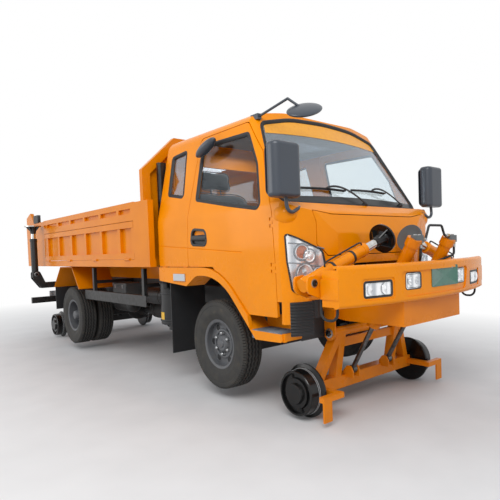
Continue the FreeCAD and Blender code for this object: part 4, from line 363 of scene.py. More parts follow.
# A darker copy of the hard chrome for the rail gear rods: the darkening is painted shade, for rods that
# mirror the truck's dark underside.
DULL_CHROME = hard_chrome("hard_chrome_darkened_as_shade", "#77797B", "#4C4A47", 0.2, 0.4)
CHROMED_PLASTIC = fluted_reflector("vacuum_chromed_plastic", 138.4)
ZINC = zinc_plate("bright_zinc_plate")
GLASS = cab_window("green_tinted_toughened_glass")
SCREEN_GLASS = cab_window("laminated_screen_glass", "#F8FBFC", 0.16)
REFLECTOR = fluted_reflector("metallised_fluted_reflector", 88)
COVER = cab_window("clear_polycarbonate_cover", "#FFFFFF", 0.04)
AMBER = lamp_lens("amber_polycarbonate_lens", "#E87A10", 7.0)
MIRROR = mirror_glass("silvered_float_glass")
FRIT = printed_plate("black_ceramic_print", "#141517", "#202225")
SUN_STRIP = printed_plate("yellow_printed_film", "#EFA20F", "#E5930C")
LABEL = printed_plate("yellow_printed_label", "#E7B51F", "#D9A41B")
GREEN_PLATE = printed_plate("green_enamelled_plate", "#3C6F5E", "#2F5D4F")
TREAD_PLATE = rolled_alloy("rolled_aluminium_tread", "#8C97A3", "#5F6468")
CLOTH = woven_seat("flat_woven_seat_cloth", "#3B3D42", "#1D1E21")

FINISH_NODES = (
    (ORANGE, "cab_shell front_lid door_right door_left front_bumper cab_steps front_right_jack_barrel "
             "front_left_jack_barrel"),
    (ORANGE_BED, "bed_body drop_side_right drop_side_left tailgate rear_mudguards"),
    (ORANGE_GEAR, "gear_carrier front_gear_barrels front_gear_frame hoist_barrel"),
    (BLACK_STEEL, "chassis_frame cross_members engine front_axle rear_axle frame_boxes rear_gear_frame "
                  "rear_gear_barrels rear_carrier knuckle_left knuckle_right side_guards "
                  "rear_right_jack_barrel rear_left_jack_barrel"),
    (INTAKE, "air_intake"),
    (DULL_CHROME, "front_gear_rods rear_gear_rods"),
    (CHROME, "hoist_rod front_right_jack_rod front_left_jack_rod rear_right_jack_rod "
             "rear_left_jack_rod"),
    (BLACK_GLOSS, "front_wheelset rear_wheelset"),
    (RIM_PAINT, "front_right_rim front_left_rim rear_right_rims rear_left_rims"),
    (RUBBER, "front_right_tyre front_left_tyre rear_right_tyres rear_left_tyres"),
    (SCREEN_GLASS, "cab_glass"),
    (GLASS, "door_glass_right door_glass_left"),
    (REFLECTOR, "lamps"),
    (MIRROR_SHELL, "mirrors"),
    (EPDM, "hoses"),
    (PLASTIC, "dashboard steering_wheel splash_panels cab_floor"),
    (CLOTH, "seats"),
)
for finish, names in FINISH_NODES:
    for name in names.split():
        nodes[name].data.materials.clear()
        nodes[name].data.materials.append(finish)


# ---------------------------------------------------------------- shapes
def unit(v):
    """Vectors of length one."""
    v = np.asarray(v, float)
    return v / np.linalg.norm(v, axis=-1, keepdims=True)


def rounded(corners, step=8.0):
    """Closed outline: straight runs between (u, v, radius) corners joined by arcs tangent to both,
    sampled evenly about a step apart."""
    corners = np.array(corners, float)
    at, radius = corners[:, :2], corners[:, 2:]
    before, after = unit(np.roll(at, 1, 0) - at), unit(np.roll(at, -1, 0) - at)
    half = np.arccos(np.sum(before * after, 1, keepdims=True)) / 2
    start, end = at + before * radius / np.tan(half), at + after * radius / np.tan(half)
    centre = at + unit(before + after) * radius / np.sin(half)
    share = np.linspace(0, 1, 9)[None, :, None]
    spoke = (start - centre)[:, None] * (1 - share) + (end - centre)[:, None] * share
    arcs = centre[:, None] + unit(spoke + 1e-9) * radius[:, None]
    loop = arcs.reshape(-1, 2)
    loop = np.vstack((loop, loop[:1]))
    run = np.concatenate(([0], np.cumsum(np.linalg.norm(np.diff(loop, axis=0), axis=1))))
    even = np.linspace(0, run[-1], max(12, int(run[-1] / step)), endpoint=False)
    return np.stack([np.interp(even, run, loop[:, k]) for k in (0, 1)], -1)


def turned(profile, centre, axis, count=40):
    """Turned form: each (distance, radius) of a profile is carried round an axis through a centre,
    and both ends of the form are closed."""
    axis = unit(axis)
    side = unit(np.cross(axis, (0.31, 0.17, 0.94)))
    along, radius = np.array(profile, float).T
    turn = np.linspace(0, 2 * np.pi, count, endpoint=False)
    ring = np.cos(turn)[:, None] * side + np.sin(turn)[:, None] * np.cross(axis, side)
    points = np.asarray(centre, float) + along[:, None, None] * axis + radius[:, None, None] * ring
    return points, False, True, True


def turned_ring(profile, centre, axis, count):
    """Turned form whose profile is a closed loop, clear of the axis."""
    return turned(profile, centre, axis, count)[0], True, True, False


def turned_band(profile, centre, axis, count):
    """Turned form that is left open at both ends of its profile."""
    return turned(profile, centre, axis, count)[0], False, True, False


def spread(count, radius, first=0.0):
    """Steps from an axle's middle to places spaced evenly round it, first in degrees."""
    turn = np.radians(360 / count * np.arange(count) + first)
    return np.stack((np.cos(turn), 0 * turn, np.sin(turn)), -1) * radius


def carried(path, section, up, closed=False):
    """Profile carried along a path: each (across, out) of the section is laid off at right angles
    to the path, out along 'up' and across away from the middle of a closed path."""
    path = np.asarray(path, float)
    ahead = np.roll(path, -1, 0) - np.roll(path, 1, 0)
    if not closed:
        ahead[0], ahead[-1] = path[1] - path[0], path[-1] - path[-2]
    ahead = unit(ahead)
    across = unit(np.cross(ahead, np.broadcast_to(up, path.shape)))
    out = np.cross(across, ahead)
    section = np.array(section, float)
    if closed and np.sum(across * (path - path.mean(0))) < 0:
        across = -across
    points = path[:, None] + section[None, :, :1] * across[:, None] + section[None, :, 1:] * out[:, None]
    return points, closed, True, not closed


def domed(outline, rise, place, closed=True):
    """Panel inside an outline: rings of the outline drawn in towards its middle by a share, each
    lifted to a height; place turns (u, v, height) into a point. If closed, the first ring is
    filled too."""
    middle = (outline.max(0) + outline.min(0)) / 2
    rings = [place(*(middle + (outline - middle) * share).T, height) for share, height in rise]
    return np.stack(rings), False, True, closed


def points_and_out(place, u, v, height=0.0):
    """Points laid on a surface by its place rule, and the way straight out of it at each."""
    points = place(u, v, height)
    return points, place(u, v, height + 1) - points


def oblong(low, high, radius, step=8.0):
    """Closed outline of the rectangle between two corners, rounded by a radius."""
    (left, foot), (right, top) = low, high
    return rounded(((left, foot, radius), (right, foot, radius), (right, top, radius),
                    (left, top, radius)), step)


def oval(width, height, count=12):
    """Section of an ellipse by width across and height out."""
    turn = np.linspace(0, 2 * np.pi, count, endpoint=False)
    return np.stack((np.cos(turn) * width / 2, np.sin(turn) * height / 2), -1)


def quadratic(start, corner, end, t):
    """Quadratic curve from start to end that leans towards a corner, at the shares t."""
    return (1 - t) ** 2 * start + 2 * t * (1 - t) * corner + t ** 2 * end


def bent(points, bend):
    """Open path through points with each corner drawn as a quadratic curve within the bend."""
    points = np.array(points, float)
    t = np.linspace(0, 1, 9)[:, None]
    runs = [points[:1]]
    for before, corner, after in zip(points, points[1:], points[2:]):
        start = corner + unit(before - corner) * bend
        end = corner + unit(after - corner) * bend
        runs.append(quadratic(start, corner, end, t))
    return np.vstack(runs + [points[-1:]])


def make(name, grids, finish, body, sharp=38):
    """One piece from grids of points in millimetres, each (points, joined down, joined across,
    ends closed); neighbours in a grid are joined by four-sided faces."""
    corners, faces, start = [], [], 0
    for points, join_down, join_across, ends in grids:
        rows, columns = points.shape[:2]
        index = np.arange(rows * columns).reshape(rows, columns) + start
        start += rows * columns
        if ends:
            faces += [index[0, ::-1].tolist(), index[-1].tolist()]
        index = np.vstack((index, index[:1])) if join_down else index
        index = np.hstack((index, index[:, :1])) if join_across else index
        quads = np.stack((index[:-1, :-1], index[1:, :-1], index[1:, 1:], index[:-1, 1:]), -1)
        faces += quads.reshape(-1, 4).tolist()
        corners.append(points.reshape(-1, 3))
    mesh = bpy.data.meshes.new(name)
    mesh.from_pydata((np.concatenate(corners) * MM + ORIGIN).tolist(), [], faces)
    work = bmesh.new()
    work.from_mesh(mesh)
    bmesh.ops.remove_doubles(work, verts=work.verts, dist=0.02 * MM)
    bmesh.ops.recalc_face_normals(work, faces=work.faces)
    work.to_mesh(mesh)
    work.free()
    mesh.shade_smooth()
    mesh.set_sharp_from_angle(angle=np.radians(sharp))
    mesh.materials.append(finish)
    piece = bpy.data.objects.new(name, mesh)
    bpy.context.scene.collection.objects.link(piece)
    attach(piece, body)
    return piece


WAIST_Z, WAIST_HALF = 1500, 946
ROOF_Z = 2300
CAB_LEAN = 0.2154  # how far the cab's side leans in for each millimetre up from the waist


def skin_y(z):
    """Half width of the cab's side at a height: upright low down, leaning in above the waist."""
    return np.interp(z, (650, 1180, WAIST_Z, ROOF_Z), (938, 950, WAIST_HALF, 773.7))


def on_side(side):
    """Place rule for the cab's side: x, z and a height off the skin."""
    return lambda x, z, h: np.stack((x, side * (skin_y(z) + h), z + 0 * x), -1)


def side_up(side):
    """Direction straight out of the leaning upper side."""
    return unit((0, side, CAB_LEAN))


SCREEN_FOOT_Z = 1528


def screen_x(y, z):
    """How far forward the windscreen stands: an arch between two straight flanks and a rounded
    pillar at each end."""
    rake, bow, r = 0.561, 78, 90
    middle = 934 - rake * (z - SCREEN_FOOT_Z)
    half = skin_y(z) + 3
    slope, y = 1.6 * bow / half, np.abs(y)
    flank = middle + 0.6 * bow - slope * y
    arch = middle - slope * y ** 2 / (1.5 * half)
    centre_x = middle + 0.6 * bow - slope * (half - r) - r * np.sqrt(1 + slope ** 2)
    past = np.clip(y - (half - r), 0, r * 0.999)
    pillar = centre_x + np.sqrt(r ** 2 - past ** 2)
    x = np.where(y < 0.75 * half, arch, flank)
    return np.where(y > half - r + r * slope / np.sqrt(1 + slope ** 2), pillar, x)


def off_front(front_x, y, z, h, d):
    """Points at a height h off a surface that stands front_x(y, z) ahead, along its normal, which
    comes from how far the surface falls back over a distance d."""
    x = front_x(y, z)
    normal = unit(np.stack((1 + 0 * x, (front_x(y - d, z) - x) / d, (front_x(y, z - d) - x) / d), -1))
    return np.stack((x, y, z + 0 * x), -1) + normal * np.asarray(h)[..., None]


def on_screen(y, z, h):
    """Place rule for the windscreen: y, z and a height off the glass line."""
    return off_front(screen_x, y, z, h, 1.0)


def nose_line(corners):
    """Front edge of a view of the cab's nose, the part of it over 860 ahead of the front axle, as
    (place across, how far forward)."""
    loop = rounded(corners, 3)
    front = loop[loop[:, 0] > 860]
    front = front[np.argsort(front[:, 1])]
    return front[:, 1], front[:, 0]


# The nose from the side by its corners (x, z, radius), and from above by (x, y, radius).
NOSE_SIDE = nose_line(((200, 814, 1), (1010, 812, 20), (1076, 1000, 60), (1076, 1300, 80),
                       (1030, 1462, 60), (938, SCREEN_FOOT_Z, 30), (500, ROOF_Z, 1), (200, ROOF_Z, 1)))
NOSE_PLAN = nose_line(((0, -970, 1), (960, -970, 190), (1085, -500, 900), (1085, 500, 900),
                       (960, 970, 190), (0, 970, 1)))


def nose_x(y, z):
    """How far forward the cab's nose stands: the lesser of its side view and its bowed plan."""
    return np.minimum(np.interp(z, *NOSE_SIDE), np.interp(y, *NOSE_PLAN))


# ---------------------------------------------------------------- wheels
TYRE_RADIUS, TYRE_HALF = 387.0, 99
AXLE_Z = TYRE_RADIUS
FRONT_AXLE_X, REAR_AXLE_X = 0, -3341
RAIL_AXLE_Z = 115.0
RAIL_AXLES = (("front", 873), ("rear", -4644))
# Hub covers and the swells round them, as (distance out from the wheel's disc, radius).
FRONT_HUB = ((6, 78), (22, 74), (30, 64), (36, 58), (36, 36), (44, 32), (46, 24), (46, 0))
REAR_HUB = ((6, 76), (20, 72), (30, 66), (92, 60), (106, 54), (112, 44), (113, 0))
FRONT_SWELL = ((6, 132), (16, 126), (19, 116), (16, 108), (6, 106))
REAR_SWELL = ((6, 128), (12, 122), (6, 108))


def tread_radius(across):
    """Radius of the uncut tread: a slight crown that falls away at the shoulders."""
    shoulder = np.clip(np.abs(across) - 82, 0, None)
    return TYRE_RADIUS - 3.2 * (across / TYRE_HALF) ** 2 - 14 * shoulder / 13


def tyre(name, y_middle, outward, axle_x, body, node):
    """Road tyre: the section, a rounded box of sidewalls and tread, is carried round the axle;
    zigzag grooves and shoulder slots lower the tread by a smooth step of their own width."""
    tread = np.linspace(-TYRE_HALF + 4, TYRE_HALF - 4, 61)
    wall_r = np.array((368, 350, 336, 332, 318, 300, 276, 262, 258, 240, 222, 212, 206))
    wall_y = np.array((97, 98.6, 98.9, 96.4, 98.6, 98.2, 97.4, 95, 92.5, 89, 82, 76, 71.5))
    y = np.concatenate((-wall_y[::-1], tread, wall_y))
    r = np.concatenate((wall_r[::-1], tread_radius(tread), wall_r))
    turn = np.linspace(0, 2 * np.pi, 400, endpoint=False)[:, None]
    half_groove, groove_depth, slot_depth, quarter_turn = 8.0, 10, 8, 1.57
    zigzags, slots = 50, 100
    zigzag = 5.5 * np.arcsin(np.sin(turn * zigzags)) / quarter_turn
    depth = np.zeros((len(turn), len(y)))
    for middle in (-52, -17, 17, 52):
        inside = half_groove - np.abs(y - middle - zigzag)
        depth = np.maximum(depth, groove_depth * np.clip(inside / 2.5 + 0.5, 0, 1))
    slot = np.clip(np.sin(turn * slots) * 3 - 1.2, 0, 1) * np.clip((np.abs(y) - 74) / 5, 0, 1)
    depth = np.maximum(depth, slot_depth * slot * (r > 340))
    radius = np.where(r > 345, r - depth * (np.abs(y) < 98), r)
    points = np.stack((axle_x + radius * np.cos(turn), y_middle + outward * y + 0 * turn,
                       AXLE_Z + radius * np.sin(turn)), -1)
    piece = make(name, [(points, True, False, False)], RUBBER, body, 30)
    mark_grooves(piece, y_middle, axle_x)
    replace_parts(piece, node)


def mark_grooves(piece, y_middle, axle_x):
    """Writes how deep each point of a tyre lies in a cut of the tread, 0 to 1, for its material,
    which paints the cuts near black as painted shade.
    """
    corners = np.empty(3 * len(piece.data.vertices))
    piece.data.vertices.foreach_get("co", corners)
    corners = (corners.reshape(-1, 3) - ORIGIN) / MM
    across = np.abs(corners[:, 1] - y_middle)
    sunk = tread_radius(across) - np.hypot(corners[:, 0] - axle_x, corners[:, 2] - AXLE_Z)
    dark = np.clip((sunk - 2) / 5, 0, 1) * (across < 96) * (sunk < 14)
    piece.data.attributes.new("groove_shade", "FLOAT", "POINT").data.foreach_set("value", dark)


def wheel_trim(name, y_disc, y_lip, outward, axle_x, body, hub, swell):
    """Rim lip, hub cover, six hand holes, each a lip round a dark disc that is painted shade in
    the hole, and six domed wheel nuts, each a turned profile.
    """
    axis = (0, outward, 0)
    disc, lip = np.array((axle_x, y_disc, AXLE_Z)), np.array((axle_x, y_lip, AXLE_Z))
    edge = ((-20, 190), (-20, 192.5), (2, 194), (7, 204), (9, 214), (5, 217), (0, 213), (-2, 205), (0, 190))
    make(f"{name}_lip", [turned_ring(edge, lip, axis, 72)], RIM_PAINT, body)
    cover = [turned(hub, disc, axis, 60), turned_band(swell, disc, axis, 72)]
    make(f"{name}_cover", cover, RIM_PAINT, body)
    lips, hole_shades, nuts = [], [], []
    for at in disc + spread(6, 152):
        lips.append(turned_band(((6, 28), (9, 30), (10, 33), (9, 36), (5.5, 39)), at, axis, 28))
        hole_shades.append(turned(((6.4, 31), (6.8, 29), (6.8, 0)), at, axis, 24))
    make(f"{name}_hand_hole_lips", lips, RIM_PAINT, body)
    # Dark rubber discs sunk in the hand holes: painted shade in the holes.
    make(f"{name}_hand_hole_shades", hole_shades, EPDM, body)
    for at in disc + spread(6, 92, 30):
        nuts.append(turned(((7, 17), (11, 19), (15, 16.5), (30, 16)), at, axis, 6))
        nuts.append(turned(((26, 15), (36, 13), (42, 8), (44, 0)), at, axis, 14))
    make(f"{name}_nuts", nuts, ZINC, body)


def rail_wheel_trim(end, x):
    """Pale running bands on each tread beside the flange, and bolts in the dished face."""
    bands, bolts = [], []
    for _, side in SIDES:
        hub, axis = np.array((x, 0, RAIL_AXLE_Z)), (0, side, 0)
        for low, high, r in ((717, 721, 176.0), (729, 733, 174.2)):
            band = ((low, r - 3), (low, r), (high, r - 0.4), (high, r - 3))
            bands.append(turned_ring(band, hub, axis, 96))
        for at in hub + spread(4, 130, 20) + (0, side * 783, 0):
            bolts.append(turned(((0, 11), (7, 11), (8, 9), (8, 0)), at, axis, 6))
    make(f"{end}_tread_band", bands, PALE_STEEL, f"{end}_wheelset")
    make(f"{end}_wheel_bolts", bolts, DARK_STEEL, f"{end}_wheelset")


for side_name, side in SIDES:
    tyre(f"front_{side_name}_tread", side * 791, side, FRONT_AXLE_X, f"front_{side_name}_wheel",
         f"front_{side_name}_tyre")
    for place, y in (("outer", 867), ("inner", 635)):
        tyre(f"rear_{side_name}_{place}_tread", side * y, side, REAR_AXLE_X, f"rear_{side_name}_wheels",
             f"rear_{side_name}_tyres")


# ---------------------------------------------------------------- cab windows and trim
# Outlines by their corners: x for a side window or y for the screen, z, and the corner's radius.
DOOR_WINDOW = ((-205, 1648, 30), (-222, 2138, 40), (436, 2125, 50), (600, 1850, 200), (706, 1492, 40),
               (300, 1556, 300))
QUARTER_WINDOW = ((-716, 1742, 30), (-745, 2118, 30), (-492, 2140, 30), (-432, 1694, 30))
SCREEN = ((902, 1534, 70), (724, 2212, 90), (400, 2284, 900), (0, 2298, 3000), (-400, 2284, 900),
          (-724, 2212, 90), (-902, 1534, 70))
GASKET = ((-22, -15.4), (-20, -9), (-10, 1), (0, 4), (8, 3), (11, 0.4), (0, 0.4), (-1, -15.4))


def side_gasket(name, corners, side, body):
    """Rubber section carried round a side window's outline on the cab's skin."""
    loop = rounded(corners)
    path = on_side(side)(loop[:, 0], loop[:, 1], 0.0)
    make(name, [carried(path, GASKET, side_up(side), closed=True)], EPDM, body)


def screen_trim():
    """Windscreen rubber, the black printed band along its foot and the plain strip along its top."""
    loop = rounded(SCREEN)
    path, up = points_and_out(on_screen, loop[:, 0], loop[:, 1])
    make("screen_rubber", [carried(path, GASKET, up, closed=True)], EPDM, "chassis")
    glass_foot, under_glass = 1534.0, -13.0
    u, share = np.linspace(-1, 1, 61)[None, :], np.linspace(0, 1, 6)[:, None]
    z = glass_foot + 10 + share * (62 - 16 * u ** 2)
    band = on_screen(u * (878 - 0.26 * (z - glass_foot)), z, under_glass - 0.2)
    make("screen_foot_band", [(band, False, False, False)], FRIT, "chassis")
    top = np.interp(np.abs(u) * 690, (0, 400, 690), (2282, 2268, 2212))
    foot = 2128 + 18 * (1 - u ** 2)
    z = foot + share * (top - foot)
    strip = on_screen(u * (868 - 0.2625 * (z - glass_foot)), z, under_glass)
    make("sun_strip", [(strip, False, False, False)], SUN_STRIP, "chassis")


def wiper(name, pivot, elbow, blade):
    """Wiper: a turned pivot, a flat arm on a raised path, and a blade of rubber and bow that
    follows the glass."""
    pivot, elbow, start, end = np.array((pivot, elbow) + blade, float)
    share = np.linspace(0, 1, 14)
    y, z = quadratic(pivot, elbow, (start + end) / 2 + (30, 6), share[:, None]).T
    path, up = points_and_out(on_screen, y, z, 14 + 22 * np.sin(np.pi * share))
    arm = carried(path, ((-9, -3), (9, -3), (7, 4), (-7, 4)), up)
    boss_profile = ((-14, 22), (4, 22), (12, 18), (20, 16), (24, 8), (24, 0))
    boss = turned(boss_profile, on_screen(pivot[0], pivot[1], 0.0), up[0])
    share = np.linspace(0, 1, 30)
    y, z = (start + share[:, None] * (end - start)).T
    path, up = points_and_out(on_screen, y, z + 6 * np.sin(np.pi * share))
    section = ((-5, 9), (5, 9), (7, 2), (2, -3), (1, -14), (-1, -14), (-2, -3), (-7, 2))
    make(name, [arm, boss, carried(path, section, up)], PLASTIC, "chassis")


def door_handle(side_name, side):
    """Rounded bezel, sunk dish and grip of a door handle."""
    loop = rounded(((-262, 1258, 40), (-238, 1392, 50), (-32, 1372, 50), (-12, 1246, 40)), 6)
    place, out = on_side(side), (0, side, 0)
    section = ((-9, -14), (-9, 0), (-5, 5), (5, 6), (12, 2), (13, 0.3), (0, 0.3))
    bezel = carried(place(loop[:, 0], loop[:, 1], 0.0), section, out, closed=True)
    dish = domed(loop, ((0.97, -2), (0.95, -16), (0.85, -20), (0, -20)), place, closed=False)
    share = np.linspace(0, 1, 16)
    y = side * (946 + 3 * np.sin(np.pi * share))
    grip = carried(np.stack((-252 + 232 * share, y, 1317 - 6 * share), -1), oval(46, 22), out)
    make(f"door_handle_{side_name}", [bezel, dish, grip], PLASTIC, f"door_{side_name}")


for side_name, side in SIDES:
    side_gasket(f"door_window_rubber_{side_name}", DOOR_WINDOW, side, f"door_{side_name}")
    side_gasket(f"quarter_window_rubber_{side_name}", QUARTER_WINDOW, side, "chassis")
    door_handle(side_name, side)
screen_trim()
wiper("wiper_right", (20, 1542), (-240, 1700), ((-654, 1654), (-154, 1652)))
wiper("wiper_left", (605, 1560), (300, 1716), ((-79, 1664), (430, 1664)))


# ---------------------------------------------------------------- lamps
BUMPER_X, BUMPER_BOW, BUMPER_HALF = 1620, 153, 972


def on_nose(y, z, h):
    """Place rule for the cab's nose and its rounded corners: y, z and a height off the skin."""
    return off_front(nose_x, y, z, h, 1.5)


def on_bumper(y, z, h):
    """Place rule for the bumper's bowed face: y, z and a height off it."""
    return np.stack((BUMPER_X - BUMPER_BOW * (y / BUMPER_HALF) ** 2 + h, y, z + 0 * y), -1)


# The headlamp's outline by its corners, as (y, z, radius).
HEADLAMP = ((924, 1301, 12), (655, 1176, 60), (613, 975, 280), (622, 888, 30), (893, 880, 30),
            (917, 1100, 300))


def lamp_bowls(side_name, side):
    """The headlamp's four bowls, the first an indicator, each in a bright ring on a dark bezel."""
    rings, bezels, bowls = [], [], []
    for y, z, r in ((822, 1165, 50), (760, 1135, 40), (800, 1012, 62), (690, 1000, 48)):
        at, way = points_and_out(on_nose, side * y, z)
        rings.append(turned_ring(((3, r + 4), (8, r + 4), (10, r), (8, r - 4), (3, r - 5)), at, way, 40))
        bezels.append(turned_ring(((3.2, r + 16), (5, r + 14), (5, r + 3), (3.2, r + 3)), at, way, 40))
        bowl = ((3.2, r - 4), (3.6, r * 0.7), (4.6, r * 0.42), (9, r * 0.3), (11, r * 0.18), (11, 0))
        bowls.append(turned(bowl, at, way, 32))
    make(f"headlamp_rings_{side_name}", rings, CHROMED_PLASTIC, "chassis")
    make(f"headlamp_bezels_{side_name}", bezels, GREY_PLASTIC, "chassis")
    make(f"headlamp_bowls_{side_name}", bowls[1:], CHROMED_PLASTIC, "chassis")
    make(f"indicator_bowl_{side_name}", bowls[:1], AMBER, "chassis")


def headlamp(side_name, side):
    """Rubber round the headlamp, its bowls, the two bars across it, and the clear cover over all,
    drawn in from the lamp's own outline."""
    loop = rounded(HEADLAMP, 10) * (side, 1)
    path, up = points_and_out(on_nose, loop[:, 0], loop[:, 1])
    rubber = carried(path, ((-9, 2.5), (-6, 15), (-1, 17), (3, 12), (5, 0.5), (-6, 0.5)), up, closed=True)
    make(f"headlamp_rubber_{side_name}", [rubber], EPDM, "chassis")
    lamp_bowls(side_name, side)
    share = np.linspace(0, 1, 24)
    y, drop = side * (908 - 268 * share), 46 * share ** 1.3
    bars = [carried(on_nose(y, top - drop, 5.0), oval(9, 8), (1, 0, 0)) for top in (1092, 1232)]
    make(f"headlamp_bars_{side_name}", bars, GREY_PLASTIC, "chassis")
    rise = ((0.985, 3.2), (0.98, 14), (0.965, 16), (0.8, 16.5), (0.6, 17), (0.4, 17), (0.2, 17), (0, 17))
    cover = domed(loop, rise, on_nose, closed=False)
    make(f"headlamp_cover_{side_name}", [cover], COVER, "chassis")


def bumper_lamp(name, y_middle, half, low, high, sunk):
    """Bezel round a bumper lamp, sunk behind the bumper's face, and two bowls behind its glass."""
    loop = oblong((y_middle - half, low), (y_middle + half, high), 16, 6)
    section = np.array(((-9, -6), (-9, 5), (-5, 2), (4, 3), (7, 0.3), (0, -6))) - (0, sunk)
    bezel = carried(on_bumper(loop[:, 0], loop[:, 1], 0.0), section, (1, 0, 0), closed=True)
    make(f"{name}_bezel", [bezel], PLASTIC, "chassis")
    r = min(half / 2, (high - low) / 2) - 12
    bowl = ((0.5, r), (2, r), (2.5, r - 3), (1, r - 6), (1.5, r * 0.4), (6, r * 0.25), (7, 0))
    bowls = [turned(bowl, on_bumper(y_middle + share * half, (low + high) / 2, -8.0), (1, 0, 0), 32)
             for share in (-0.5, 0.5)]
    make(f"{name}_bowls", bowls, CHROMED_PLASTIC, "chassis")


for side_name, side in SIDES:
    headlamp(side_name, side)
    bumper_lamp(f"fog_lamp_{side_name}", side * 663, 118, 858, 960, 6)
    bumper_lamp(f"work_lamp_{side_name}", side * 327, 80, 888, 996, 10)


# ---------------------------------------------------------------- seats
def pillow(centre, half, ahead, up, crown):
    """Cushion form and its seam: a rounded box, one superellipse ring per height, whose outline
    pulls in between its corners and whose faces rise to a crown; half is (along, across, thick)."""
    pinch, power, seam_out = 0.05, 5.0, 1.004
    turn = np.linspace(0, 2 * np.pi, 96, endpoint=False)
    c, s = np.cos(turn), np.sin(turn)
    u = np.sign(c) * np.abs(c) ** (2 / power)
    v = np.sign(s) * np.abs(s) ** (2 / power)
    waist = 1 - pinch * (1 - np.abs(u * v)) ** 2
    t = np.concatenate((np.linspace(0.02, 0.9, 12), np.linspace(0.94, 1.0, 6)))
    share = np.concatenate((t, t[-2::-1]))
    lift = (1 - share ** 6) ** 0.5 * 0.55 + 0.45 * (1 - share ** 2)
    top = np.arange(len(share)) < len(t)
    w = np.where(top, lift * (1 + crown), -lift)
    ahead, up, centre = unit(ahead), unit(up), np.array(centre, float)
    along, across = (half[0] * u * waist)[:, None], (half[1] * v * waist)[:, None]
    edge = along * ahead + across * np.cross(up, ahead)
    points = centre + share[:, None, None] * edge + (half[2] * w)[:, None, None] * up
    return (points, False, True, True), centre + seam_out * edge, up


def plump(piece, cap, cell):
    """Swells a cushion by cloth pressure with gravity off, no point moving farther than the cap,
    and rounds it with one subdivision."""
    pressure, steps = 4.0, 20
    bpy.context.view_layer.objects.active = piece
    remesh = piece.modifiers.new("skin", "REMESH")
    remesh.mode, remesh.voxel_size = "VOXEL", cell * MM
    bpy.ops.object.modifier_apply(modifier="skin")
    count = len(piece.data.vertices)
    before = np.empty(count * 3)
    piece.data.vertices.foreach_get("co", before)
    cloth = piece.modifiers.new("swell", "CLOTH")
    cloth.settings.use_pressure = True
    cloth.settings.uniform_pressure_force = pressure
    cloth.settings.effector_weights.gravity = 0.0
    cloth.collision_settings.use_collision = False
    for step in range(1, steps + 1):
        bpy.context.scene.frame_set(step)
    graph = bpy.context.evaluated_depsgraph_get()
    swollen = piece.evaluated_get(graph)
    after = np.empty(count * 3)
    swollen.data.vertices.foreach_get("co", after)
    move = (after - before).reshape(-1, 3)
    far = np.linalg.norm(move, axis=1, keepdims=True)
    move *= np.minimum(1, cap * MM / np.maximum(far, 1e-9))
    piece.modifiers.remove(cloth)
    piece.data.vertices.foreach_set("co", (before.reshape(-1, 3) + move).ravel())
    bpy.context.scene.frame_set(1)
    piece.data.shade_smooth()
    smooth = piece.modifiers.new("round", "SUBSURF")
    smooth.levels = smooth.render_levels = 1


def seat(name, y, width):
    """One seat: a swelling cushion, a leaning back and a headrest, each with its sewn seam, on a
    moulded base."""
    half_width = width / 2
    parts = (
        ("cushion", (-252, y, 1364), (244, half_width - 14, 58), (1, 0, 0), (0, 0, 1), 0.5, 9),
        ("back", (-562, y, 1560), (232, half_width - 14, 42), (-140, 0, 508), (508, 0, 140), 0.45, 9),
        ("headrest", (-655, y, 1905), (100, half_width / 2 - 10, 30), (-32, 0, 250), (250, 0, 32), 0.4, 6),
    )
    for part, centre, half, ahead, up, crown, cell in parts:
        grid, seam, out = pillow(centre, half, ahead, up, crown)
        piece = make(f"{name}_{part}", [grid], CLOTH, "chassis", 80)
        plump(piece, 12, cell)
        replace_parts(piece, "seats")
        piping = carried(seam, oval(9, 9, 8), out, closed=True)
        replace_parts(make(f"{name}_{part}_piping", [piping], PLASTIC, "chassis"), "seats")
    box = oblong((-470, y - half_width + 30), (-30, y + half_width - 30), 30, 20)
    base = np.stack([np.column_stack((box, 0 * box[:, 0] + z)) for z in (1096, 1180, 1240, 1306)])
    posts = [carried(((-640, y + k, 1770), (-660, y + k, 1860)), oval(14, 14), (1, 0, 0))
             for k in (-60, 60)]
    piece = make(f"{name}_base", [(base, False, True, True)] + posts, PLASTIC, "chassis")
    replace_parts(piece, "seats")


seat("driver_seat", 520, 500)
seat("bench_seat", -390, 760)


# ---------------------------------------------------------------- roof, mirrors, steps
def headliner():
    """Moulded lining under the roof: an arch across the cab that drops at its sides and front."""
    back_x, length, half = -760, 1190, 730
    u = np.linspace(-1, 1, 41)[None, :]
    x = back_x + np.linspace(0, 1, 40)[:, None] * (length - 60 * u ** 2)
    front_drop = 24 * np.clip((x - 200) / 230, 0, 1) ** 2
    z = ROOF_Z - 46 * u ** 2 - 50 * np.abs(u) ** 12 - front_drop
    lining = np.stack((x, u * half + 0 * x, z), -1)
    make("headliner", [(lining, False, False, False)], HEADLINER, "chassis")


def facing(x, way):
    """Place rule for a flat face square to the truck's length: y, z and a height off it."""
    return lambda y, z, h: np.stack((x + way * h + 0 * y, y, z), -1)


def mirror_face(side_name, side):
    """Silvered pane on a mirror head's rear face, with its rounded rim."""
    y, z, half_y, half_z = side * 964, 1736, 108, 168
    place = facing(929.6, -1)
    loop = oblong((y - half_y, z - half_z), (y + half_y, z + half_z), 34, 10)
    pane = domed(loop, ((1, 0.0), (1, 1.6), (0.98, 2.4), (0, 4.0)), place)
    make(f"mirror_{side_name}_pane", [pane], MIRROR, "chassis")
    section = ((-3, -1), (-3, 3), (0, 5), (5, 4), (8, -1))
    rim = carried(place(loop[:, 0], loop[:, 1], 0.0), section, (-1, 0, 0), closed=True)
    make(f"mirror_{side_name}_rim", [rim], MIRROR_SHELL, "chassis")


